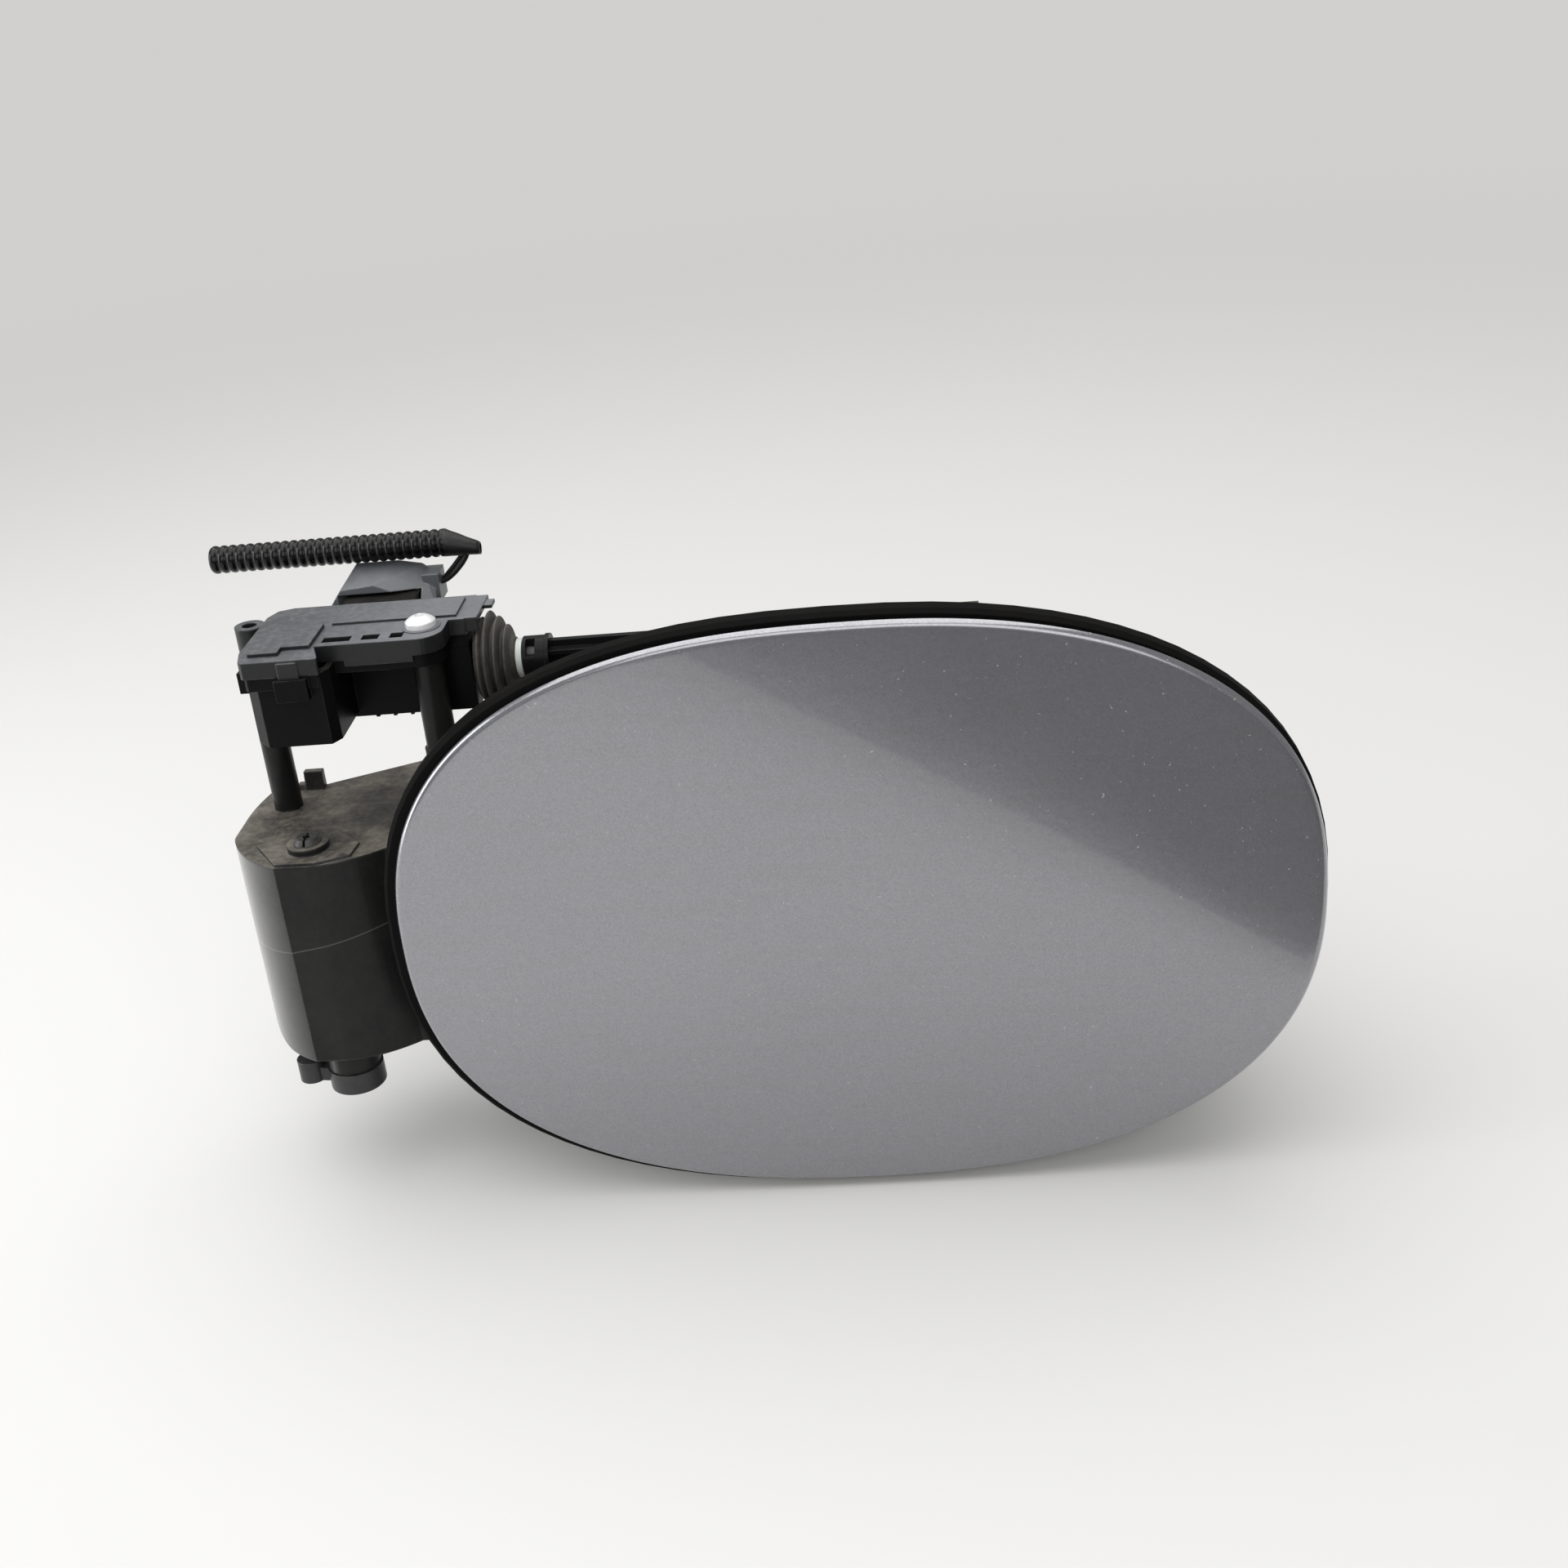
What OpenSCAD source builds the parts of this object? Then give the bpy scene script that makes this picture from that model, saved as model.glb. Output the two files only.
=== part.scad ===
// Car fuel door: an oval painted flap on a swan-neck arm, its pocket housing,
// and the electric lock that sits above the hinge box.
// +X runs from the hinge to the latch side, +Y into the car, +Z up along the hinge pin.
// The origin is the centre of the filler-neck bore, in the plane of the pocket's back wall.
// Each piece is drawn with y counted back from the plane of the flap's edge.

/* [Flap] */
// Width of the painted flap
flap_w = 200; // [190:1:206]
// Height of the painted flap
flap_h = 136; // [130:1:140]
// Fullness of the oval, where 2 is an ellipse
fullness = 2.4; // [2.2:0.1:2.8]
// How far the middle of the flap stands proud of its edge
crown = 3; // [2:0.5:4.5]
// Thickness of the painted sheet
skin_t = 0.9; // [0.7:0.1:1.2]
// Depth of the folded hem round the flap
hem_d = 1.4; // [1:0.1:2]
// Width of the folded hem round the flap
hem_w = 4.5; // [3:0.5:5]
// Thickness of the inner panel
panel_t = 1.8; // [1.4:0.1:2.4]

/* [Pocket] */
// Depth from the flap's edge to the pocket's back wall
pocket_depth = 66; // [62:1:74]
// Wall of the moulded pocket
wall = 2.2; // [1.8:0.1:2.6]
// How far the rim seal reaches past the flap
seal_over = 1.7; // [1.2:0.1:3]
// Distance from the flap's edge back to the seal
seal_gap = 2.4; // [2.2:0.1:3]
// Radius of the filler neck that the seal grips
neck_r = 30; // [26:0.5:32]

/* [Hinge] */
// Radius of the hinge pin
pin_r = 2.75; // [2.25:0.05:3]
// Running clearance of the pin in the arm
pin_clear = 0.08; // [0.05:0.01:0.1]
// Height of the hinge box above the middle of the flap
box_top = 16.3; // [15.5:0.1:19]
// Depth of the hinge box below the middle of the flap
box_bottom = 34.5; // [33:0.1:37]
// Thickness of the swan-neck arm
arm_t = 5.2; // [4.2:0.1:5.4]
// Height of the swan-neck arm
arm_h = 24; // [18:1:24]

/* [Lock] */
// Travel of the lock rod
rod_travel = 10; // [8:0.5:10]
// Radius round the ribs of the lock rod
rod_r = 3.9; // [3.4:0.1:4]
// Height of the actuator's top face
act_top = 62; // [61:0.1:63.5]
// Wall of the actuator's casing
act_wall = 1.4; // [1.1:0.1:1.6]
// Radius of the largest fold of the bellows
bellows_r = 11; // [10:0.1:11.2]

/* [Cable] */
// Outer radius of the corrugated conduit
conduit_r = 3.3; // [3:0.1:3.6]
// Length of the cut-off conduit
conduit_len = 57.6; // [44:0.1:60]
// Spacing of the conduit's ribs
rib_pitch = 2.1; // [1.8:0.1:2.6]

/* [Hidden] */
eps = 0.02;
oval_n = 80;

flap_a = flap_w / 2;
flap_b = flap_h / 2;
skin_back = hem_d;
panel_back = skin_back + panel_t;

// Pocket: the oval rim sits a little towards the hinge
pocket_x = -1.2;
seal_a = flap_a + seal_over;
seal_b = flap_b + seal_over - 0.1;
seal_land = 3.3;
flange_in = 1.5;
flange_t = 1.8;
flange_y = seal_gap + 1.4;
flange_back = flange_y + flange_t;
seal_back = flange_back + 1.2;
tray_in = 3.8;
tray_a = seal_a - tray_in;
tray_b = seal_b - tray_in - 0.5;
tray_y = 28;
bowl_a = flap_a - 13.8;
bowl_b = act_top - 15.7;
bowl_draft = 3.5;
collar_r = neck_r + 6;
collar_len = 12;
bumper_at = [[flap_a - 13.5, 20], [flap_a - 13.5, -20]];
bumper_r = 3.2;
bumper_clear = 0.15;

// Hinge box, seen from above
pin_x = -flap_a - 22;
pin_y = 18;
front_y = pin_y - 8;
hub_r = 5.4;
hub_gap = 0.4;
boss_r = 6.1;
boss_len = 5.2;
ring_r = 4.7;
ring_h = 1.6;
pad_h = 0.7;
side_r = 28.6;
side_x = pin_x + 7.3;
side_y = front_y + 25.5;
spring_wire = 1.2;
spring_turns = 5;

// Swan-neck arm: a bend of bend_r leads into an arc about the pin
neck_arc_r = 30.9;
bend_r = 14;
bend_from = 65;
arm_z = -14;
arm_foot_x = 42;
hub_z0 = -20;

// Posts and lugs that carry the actuator
post_a = [pin_x - 11.4, 42.5];
post_b = [-flap_a + 8.3, 33.2];
lug_r = 3.4;
lug_h = 6.7;
post_r = 3.5;
lug_hole_r = 1.7;
lug_turn = 5.4;
lug_z = act_top - lug_h;

// Actuator casing: the deep left end holds the motor, the middle block the gears
split_z = act_top - 3.8;
deep_z = act_top - 20.5;
mid_z = act_top - 21.8;
act_x0 = pin_x - 8.4;
act_x1 = pin_x + 39.2;
act_y0 = 17.8;
act_y1 = 52;
mid_y = 37;
mid_back = act_y1 - 0.6;

// Lock drive: the worm turns the wheel, whose pinion pushes the rack
rod_y = 42.5;
rod_z = act_top - 12.4;
neck_x = pin_x + 26.2;
gear_m = 0.7;
wheel_teeth = 13;
wheel_r = gear_m * wheel_teeth / 2;
wheel_t = 3;
pinion_teeth = 9;
pinion_r = gear_m * pinion_teeth / 2;
pinion_turn = 10;
worm_r = 1.8;
worm_z = act_top - 12;
gear_x = pin_x + 9;
gear_y = 43.8;
worm_x = gear_x - worm_r - wheel_r;
lead_twist = 360 * wheel_t / (2 * PI * worm_r * wheel_r / gear_m);
rack_y = gear_y + pinion_r;
rack_z = worm_z + 3;
rack_h = 2.6;
latch_x = 20;
striker_t = 4;
tip_r = rod_r - 1.9;
eye_r = tip_r + 0.6;
guide_r = rod_r + 0.9;
blade_low = rod_z - 4.6;
blade_top = rod_z + eye_r + 0.8;
blade_back = rod_y + eye_r + 2;
pocket_gap = 0.6;
pocket_half = 11;

// Plug, conduit and wires
bellows_x = [act_x1 + 1, act_x1 + 9.4];
cover_end = act_x1 + 2.8;
plug_x = pin_x + 15.7;
conduit_y = 66;
conduit_z = act_top + 8.6;
conduit_x0 = pin_x - 25.3;
socket_w = 17;
tape_lean = 14;
wire_r = 0.6;
wire_gap = 0.75;

// Points shared by the pieces
function arc(c, r, a0, a1, n) =
    [for (i = [0:n]) let (t = a0 + (a1 - a0) * i / n) [c[0] + r * cos(t), c[1] + r * sin(t)]];
function bend(a, b, c, n) =
    [for (i = [0:n]) let (t = i / n) (1 - t) * (1 - t) * a + 2 * t * (1 - t) * b + t * t * c];
function signed_pow(v, p) = sign(v) * pow(abs(v), p);
function oval_points(a, b) =
    [for (i = [0:oval_n - 1]) let (t = 360 * i / oval_n)
        [a * signed_pow(cos(t), 2 / fullness), b * signed_pow(sin(t), 2 / fullness)]];

// Turns a flat XZ outline into a block that runs from y0 back to y1
module along_y(y0, y1) {
    translate([0, y1, 0]) rotate([90, 0, 0]) linear_extrude(y1 - y0) children();
}

// Turns a flat YZ outline into a block that runs from x0 to x1
module along_x(x0, x1) {
    translate([x0, 0, 0]) rotate([90, 0, 90]) linear_extrude(x1 - x0) children();
}

module along_z(z0, z1) {
    translate([0, 0, z0]) linear_extrude(z1 - z0) children();
}

module oval(a, b, y0, y1) {
    along_y(y0, y1) polygon(oval_points(a, b));
}

// Oval that shrinks from [a0, b0] at y0 to [a1, b1] at y1
module oval_taper(a0, b0, a1, b1, y0, y1) {
    translate([0, y1, 0]) rotate([90, 0, 0])
        linear_extrude(height = y1 - y0, scale = [a0 / a1, b0 / b1], slices = 1)
            polygon(oval_points(a1, b1));
}

module block(low, high) {
    translate(low) cube(high - low);
}

module pole(p, r, z0, z1) {
    translate([p[0], p[1], z0]) cylinder(r = r, h = z1 - z0, $fn = 48);
}

module rod_x(y, z, r, x0, x1) {
    translate([x0, y, z]) rotate([0, 90, 0]) cylinder(r = r, h = x1 - x0, $fn = 48);
}

module rod_y(x, z, r, y0, y1) {
    translate([x, y0, z]) rotate([-90, 0, 0]) cylinder(r = r, h = y1 - y0, $fn = 48);
}

module from_face() {
    translate([0, -pocket_depth, 0]) children();
}

// Solid behind a shallow dome whose edge lies in the plane y = sink
module dome(sink) {
    sag_r = flap_b * flap_b / (2 * crown);
    turn_r = flap_a * flap_a / (2 * crown);
    translate([0, turn_r - crown + sink, 0])
        rotate([0, 0, 262])
            rotate_extrude(angle = 16, $fn = 700)
                intersection() {
                    translate([turn_r - sag_r, 0]) circle(r = sag_r, $fn = 700);
                    translate([turn_r - 12, -90]) square([20, 180]);
                }
}

module flap_skin() {
    color([0.47, 0.48, 0.51]) from_face() difference() {
        intersection() {
            oval(flap_a, flap_b, -crown - 2, skin_back);
            dome(0);
        }
        intersection() {
            oval(flap_a - hem_w, flap_b - hem_w, -crown - 1, skin_back + 1);
            dome(skin_t);
        }
    }
}

// Inner panel with its stiffening bead, the eye for the lock rod and the fuel cap's hook
module flap_panel() {
    inset = hem_w - 1;
    color([0.09, 0.09, 0.1]) from_face() {
        difference() {
            union() {
                oval(flap_a - inset, flap_b - inset, skin_back, panel_back);
                difference() {
                    oval(flap_a - 14, flap_b - 12, panel_back - eps, panel_back + 2);
                    oval(flap_a - 17, flap_b - 15, panel_back - 1, panel_back + 3);
                    block([-flap_a, 0, arm_z - 6], [-flap_a + 60, 12, arm_z + arm_h + 6]);
                    for (p = bumper_at)
                        rod_y(p[0], p[1], bumper_r + bumper_clear, panel_back - 1, panel_back + 3);
                }
                striker_blade();
                cap_hook();
            }
            rod_x(rod_y, rod_z, eye_r, latch_x - striker_t, latch_x + striker_t);
            arm_screw_holes(1.2);
        }
    }
}

// Blade on the back of the panel, with a wider foot
module striker_blade() {
    along_x(latch_x - striker_t / 2, latch_x + striker_t / 2) polygon(blade_outline(0));
    foot = striker_t / 2 + 3;
    block([latch_x - foot, panel_back - eps, blade_low], [latch_x + foot, panel_back + 3, blade_top]);
}

// Side view of the blade, grown by d: its back corner is cut away above the eye
function blade_outline(d) =
    let (front = d > 0 ? 0 : panel_back - eps)
    [[front, blade_low - d], [blade_back + d, blade_low - d], [blade_back + d, blade_top - 2.4 + d / 2],
        [rod_y - 1.2, blade_top + d], [front, blade_top + d]];

module cap_hook() {
    block([-11.5, panel_back - eps, -27], [-8.5, panel_back + 13, -9]);
    block([-11.5, panel_back + 10, -10], [-8.5, panel_back + 13, -3]);
}

// Profile of the swan neck in the plane across the pin, with the pin at the origin
function neck_outline() =
    let (
        h = arm_t / 2,
        c = [(neck_arc_r - bend_r) * cos(bend_from), (neck_arc_r - bend_r) * sin(bend_from)],
        foot = panel_back - pin_y
    )
    concat(
        [[neck_arc_r + h, foot]],
        arc([0, 0], neck_arc_r + h, 0, bend_from, 10),
        arc(c, bend_r + h, bend_from, 180, 12),
        [[c[0] - bend_r - h, 0]],
        [[c[0] - bend_r + h + 2, 0]],
        [[c[0] - bend_r + h, 7]],
        arc(c, bend_r - h, 180, bend_from, 12),
        arc([0, 0], neck_arc_r - h, bend_from, 0, 10),
        [[neck_arc_r - h, foot]]
    );

function foot_screws() =
    [for (dx = [11, 34], dz = [-7, 7]) [pin_x + neck_arc_r + dx, arm_z + arm_h / 2 + dz]];

module arm_screw_holes(r) {
    for (s = foot_screws())
        translate([s[0], panel_back + 5, s[1]]) rotate([90, 0, 0])
            cylinder(r = r, h = 5 + panel_t - 0.3, $fn = 24);
}

module hinge_arm() {
    top = arm_z + arm_h;
    foot_x0 = pin_x + neck_arc_r - arm_t / 2;
    rib_z = [arm_z, arm_z + arm_h / 2 - 1, top - 2];
    color([0.07, 0.07, 0.08]) from_face() difference() {
        union() {
            translate([pin_x, pin_y, 0]) along_z(arm_z, top) polygon(neck_outline());
            pole([pin_x, pin_y], hub_r, hub_z0, box_top - wall - hub_gap);
            block([foot_x0, panel_back, arm_z], [foot_x0 + arm_foot_x, panel_back + 2.6, top]);
            for (z = rib_z)
                along_z(z, z + 2)
                    polygon([[foot_x0 + 4, panel_back + 2], [foot_x0 + 4, 14],
                        [foot_x0 + 12, 7.5], [foot_x0 + arm_foot_x - 2, panel_back + 2]]);
        }
        pole([pin_x, pin_y], pin_r + pin_clear, hub_z0 - 1, box_top);
        arm_screw_holes(1.6);
        for (s = foot_screws())
            rod_y(s[0], s[1], 3.2, panel_back + 2.6, 20);
    }
}

module arm_screws() {
    color([0.6, 0.6, 0.62]) from_face()
        for (s = foot_screws()) {
            rod_y(s[0], s[1], 2.7, panel_back + 2.6, panel_back + 4.4);
            translate([s[0], panel_back + 2.7, s[1]]) rotate([90, 0, 0])
                cylinder(r = 1.1, h = 2.6 + panel_t - 0.4, $fn = 24);
        }
}

// Outline of the hinge box from above, drawn in by d for the inside of its wall
function box_outline(d) = concat(
    bend([pin_x + 1, front_y + d], [pin_x + 9, front_y + 0.4 + d], [pin_x + 17.5, front_y + 7 + d], 12),
    [[-flap_a + 18, front_y + 7 + d]],
    [[-flap_a + 18, pocket_depth - 1 - d], [-flap_a - 4, pocket_depth - 1 - d]],
    [[pin_x - 6 + d, 53.5 - d], [pin_x - 17.5 + d, 53.5 - d], [pin_x - 19 + d, 46.5]],
    arc([side_x, side_y], side_r - d, 180, 241.6, 28)
);

// Rounded outline of the box from the front
function box_front(d) = concat(
    [[0, -box_bottom + d], [0, box_top - d]],
    arc([pin_x - 21.3 + 2.6, box_top - 2.6], 2.6 - d / 2, 90, 180, 8),
    arc([pin_x - 21.3 + 9, -box_bottom + 9], 9 - d, 180, 270, 16)
);

module hinge_box(d) {
    intersection() {
        along_z(-box_bottom + d, box_top - d) polygon(box_outline(d));
        along_y(0, 90) polygon(box_front(d));
    }
}

// Straight oval wall that joins the flange to the box where the arm passes
module arm_window(d, y0, y1) {
    intersection() {
        translate([pocket_x, 0, 0]) oval(tray_a - d, tray_b - d, y0, y1);
        block([-flap_a - 10, 0, -box_bottom + d], [-flap_a + 30, 60, box_top - d]);
    }
}

module rod_guide(x) {
    difference() {
        union() {
            along_x(x - 2.5, x + 2.5)
                polygon([[rod_y - 8, bowl_b - 6], [rod_y + 8, bowl_b - 6], [rod_y + guide_r, rod_z],
                    [rod_y - guide_r, rod_z]]);
            rod_x(rod_y, rod_z, guide_r, x - 2.5, x + 2.5);
        }
        rod_x(rod_y, rod_z, rod_r + 0.35, x - 4, x + 4);
    }
}

// Snap tongue on the outside of the tray, towards the side given by s
module snap_clip(x, s) {
    base = tray_b - 9;
    along_x(x - 6, x + 6)
        polygon([[flange_back - eps, s * base], [flange_back - eps, s * (tray_b - 1)],
            [seal_back + 1, s * (tray_b - 1)], [seal_back + 4, s * (tray_b + 1.6)],
            [seal_back + 9, s * (tray_b - 4.5)], [26, s * (bowl_b - 1)]]);
}

module pocket_housing() {
    color([0.08, 0.08, 0.085]) from_face() difference() {
        union() {
            translate([pocket_x, 0, 0]) {
                oval(seal_a - flange_in, seal_b - flange_in, flange_y, flange_back);
                oval_taper(tray_a, tray_b, bowl_a, bowl_b, flange_back - eps, tray_y);
                oval_taper(bowl_a, bowl_b, bowl_a - bowl_draft, bowl_b - bowl_draft,
                    tray_y - eps, pocket_depth + wall);
            }
            hinge_box(0);
            arm_window(0, flange_back - eps, front_y + 9.2);
            latch_pocket(0);
            rod_guide(-18);
            for (x = [-22, 22]) snap_clip(x, -1);
            snap_clip(-8, 1);
            collar(collar_r + wall, pocket_depth - 2);
            box_details();
            bumper_bosses();
            pole([20, 46], 5, -bowl_b - 7, -bowl_b + 6);
        }
        translate([pocket_x, 0, 0]) {
            oval(tray_a - wall, tray_b - wall, 0, flange_back + eps);
            oval_taper(tray_a - wall, tray_b - wall, bowl_a - wall, bowl_b - wall,
                flange_back, tray_y + eps);
            oval_taper(bowl_a - wall, bowl_b - wall, bowl_a - wall - bowl_draft, bowl_b - wall - bowl_draft,
                tray_y, pocket_depth);
        }
        hinge_box(wall);
        arm_window(wall, flange_back - eps, front_y + 9.4);
        block([pin_x + 22.7, 2, arm_z - 1.5], [pin_x + 36, front_y + 12, arm_z + arm_h + 1.5]);
        latch_pocket(wall);
        collar(collar_r, pocket_depth - 6);
        pole([pin_x, pin_y], pin_r, -box_bottom - boss_len - 1, box_top + 5);
        pole(post_a, 1.35, lug_z - 12, lug_z + 1);
        pole(post_b, 1.35, lug_z - 12, lug_z + 1);
        pole([20, 46], 3, -bowl_b - 9, -bowl_b + 9);
    }
}

// Round wall behind the bowl that holds the neck seal, or its bore
module collar(r, y0) {
    back = pocket_depth + collar_len + (r > collar_r ? 0 : 4);
    rotate([-90, 0, 0]) translate([0, 0, y0]) cylinder(r = r, h = back - y0, $fn = 96);
}

// Recess above the bowl where the lock rod meets the flap's eye
module latch_pocket(d) {
    half = pocket_half - d;
    grow = pocket_gap + wall - d;
    if (d > 0)
        along_x(latch_x - half, latch_x + half) polygon(blade_outline(grow));
    else
        intersection() {
            along_x(latch_x - half, latch_x + half) polygon(blade_outline(grow));
            block([latch_x - half, 14, 0], [latch_x + half, 90, blade_top + pocket_gap + 1.2]);
        }
    if (d > 0) rod_x(rod_y, rod_z, rod_r + 0.35, latch_x - half - wall - 1, latch_x);
}

// Boss, pad, ring and fin on the hinge box, with the two posts
module box_details() {
    pole([pin_x, pin_y], boss_r, -box_bottom - boss_len, -box_bottom + 3);
    pole([pin_x, pin_y], ring_r, box_top, box_top + pad_h + ring_h);
    along_z(box_top - 1, box_top + pad_h)
        polygon([[pin_x - 6, front_y + 0.6], [pin_x + 3, front_y + 0.3], [pin_x + 10.5, front_y + 3.4],
            [pin_x + 11.2, front_y + 9.5], [pin_x + 5, front_y + 16.5], [pin_x - 2, front_y + 17],
            [pin_x - 13, front_y + 11]]);
    pole(post_a, post_r - 0.2, box_top - 1, lug_z);
    pole(post_b, post_r + 0.5, box_top - 1, lug_z - 22);
    pole(post_b, post_r, lug_z - 23, lug_z);
    for (x = [[-11.4, 1.4], [-9.5, 4.6]])
        along_x(pin_x + x[0], pin_x - 5)
            polygon([[50.6, box_top - 1], [53.2, box_top - 1], [53.2, box_top + x[1]],
                [51.4, box_top + x[1]]]);
}

module bumper_bosses() {
    for (p = bumper_at)
        rod_y(p[0], p[1], 4, panel_back + 3.2, panel_back + 23.2);
}

module rim_seal() {
    lip = 0.9;
    color([0.05, 0.05, 0.05]) from_face() translate([pocket_x, 0, 0]) difference() {
        union() {
            oval(seal_a, seal_b, seal_gap + lip, seal_back);
            oval_taper(seal_a - lip, seal_b - lip, seal_a, seal_b, seal_gap, seal_gap + lip + eps);
        }
        oval(seal_a - seal_land, seal_b - seal_land, 0, seal_back + 1);
        oval(seal_a - flange_in, seal_b - flange_in, flange_y, flange_back);
    }
}

// Ring pressed into the collar, with two lips that grip the filler neck
module neck_seal() {
    color([0.06, 0.06, 0.06]) rotate([-90, 0, 0]) rotate_extrude($fn = 96)
        polygon([[neck_r, -3], [neck_r + 1.5, -4.5], [collar_r + 1.5, -4.5],
            [collar_r + 1.5, -2.5], [collar_r, -2.5], [collar_r, collar_len + 0.3],
            [collar_r + 2, collar_len + 0.3], [collar_r + 2, collar_len + 2.3],
            [neck_r + 2, collar_len + 2.3], [neck_r + 2, collar_len], [neck_r, collar_len - 2]]);
}

module bumpers() {
    color([0.07, 0.07, 0.07]) from_face()
        for (p = bumper_at)
            translate([p[0], panel_back + 3.2, p[1]]) rotate([90, 0, 0]) {
                cylinder(r1 = bumper_r + 0.4, r2 = bumper_r, h = 1.8, $fn = 32);
                translate([0, 0, 1.8 - eps]) cylinder(r1 = bumper_r, r2 = 1.8, h = 1.1, $fn = 32);
            }
}

// Pin pushed in from below, with a split snap end above and a winged cap below
module hinge_pin() {
    z_cap = -box_bottom - boss_len - 0.3;
    z_top = box_top + pad_h + ring_h;
    color([0.1, 0.1, 0.11]) from_face() translate([pin_x, pin_y, 0]) difference() {
        union() {
            translate([0, 0, z_cap]) cylinder(r = pin_r, h = z_top - z_cap, $fn = 48);
            translate([0, 0, z_top]) cylinder(r1 = pin_r + 0.5, r2 = pin_r - 0.4, h = 1.3, $fn = 48);
            translate([0, 0, z_cap - 5]) cylinder(r = boss_r + 0.4, h = 5, $fn = 64);
            translate([0, 0, z_cap - 3.4]) wing();
        }
        translate([-0.3, -4, z_top - 5]) cube([0.6, 8, 9]);
        translate([0, 0, z_top - 5]) cylinder(r = 0.9, h = 9, $fn = 24);
    }
}

module wing() {
    linear_extrude(3.4) polygon([[-3, -2.6], [-8, -1.9], [-10.6, -1.9], [-10.6, 1.9], [-8, 1.9], [-3, 2.6]]);
    translate([-10.6, 0, 0]) cylinder(r = 3.2, h = 5.4, $fn = 32);
}

// Torsion spring round the pin, with one leg on the box wall and one towards the arm
module hinge_spring() {
    coil_r = pin_r + 0.6 + spring_wire / 2 + 0.4;
    z0 = -box_bottom + wall + spring_wire / 2 + 0.35;
    z1 = hub_z0 - spring_wire / 2 - 0.35;
    turn_n = 16;
    coil = [for (i = [0:spring_turns * turn_n]) let (t = 90 + i * 360 / turn_n)
        [coil_r * cos(t), coil_r * sin(t), z0 + (z1 - z0) * i / (spring_turns * turn_n)]];
    path = concat([[9.5, coil_r, z0], [3, coil_r, z0]], coil, [[-3, coil_r, z1], [-9.5, coil_r, z1]]);
    color([0.45, 0.45, 0.47]) from_face() translate([pin_x, pin_y, 0])
        sweep(path, spring_wire / 2, 6, [0, 0, 1]);
}

// Tube of n sides and radius r along a list of points that never runs along the vector across
function unit(v) = v / norm(v);
module sweep(path, r, n, across) {
    m = len(path);
    dirs = [for (i = [0:m - 1]) unit(path[min(i + 1, m - 1)] - path[max(i - 1, 0)])];
    points = [for (i = [0:m - 1]) let (s = unit(cross(dirs[i], across)), u = cross(s, dirs[i]))
        for (k = [0:n - 1]) path[i] + r * (s * cos(360 * k / n) + u * sin(360 * k / n))];
    sides = [for (i = [0:m - 2]) for (k = [0:n - 1]) let (k2 = (k + 1) % n)
        [i * n + k, i * n + k2, (i + 1) * n + k2, (i + 1) * n + k]];
    ends = [[for (k = [n - 1:-1:0]) k], [for (k = [0:n - 1]) (m - 1) * n + k]];
    polyhedron(points, concat(sides, ends), convexity = 4);
}

// Casing outline from above, drawn in by d
function cover_outline(d) = concat(
    [[act_x0 + d, act_y0 + 6.5], [act_x0 + 1.4 + d, act_y0 + 0.8 + d], [act_x0 + 2.2 + d, act_y0 + d]],
    [[pin_x + 10.4 - d, act_y0 + d], [pin_x + 10.4 - d, act_y0 + 1 + d], [pin_x + 8 - d, 25.5 + d]],
    arc([post_b[0], 25.5 + lug_turn], lug_turn - d, -90, 0, 8),
    [[post_b[0] + lug_turn - d, 36.4 + d], [act_x1 - d, 36.4 + d], [act_x1 - d, act_y1 - d]],
    [[act_x0 + 5 + d, act_y1 - d], [act_x0 + 1.6 + d, act_y1 - 1.4 - d], [act_x0 + d, 46.6]]
);
function deep_outline(d) = [
    [act_x0 + 1 + d, act_y0 + 5 + d / 2], [act_x0 + 4.3 + d / 2, act_y0 + 1.2 + d],
    [pin_x + 10 - d, act_y0 + 1.2 + d], [pin_x + 11.6 - d, act_y0 + 4 + d],
    [pin_x + 11.6 - d, 46 - d], [act_x0 + 1 + d, 46 - d]
];

// Tub of the casing, or its hollow when d is the wall
module casing(d) {
    top = split_z + (d > 0 ? 1 : 0);
    along_z(deep_z + d, top) polygon(deep_outline(d));
    block([act_x0 + 1 + d, mid_y + d, mid_z + d], [act_x1 - d, mid_back - d, top]);
    along_z(split_z - 3 + d, top) polygon(cover_outline(0.5 + d));
}

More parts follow.
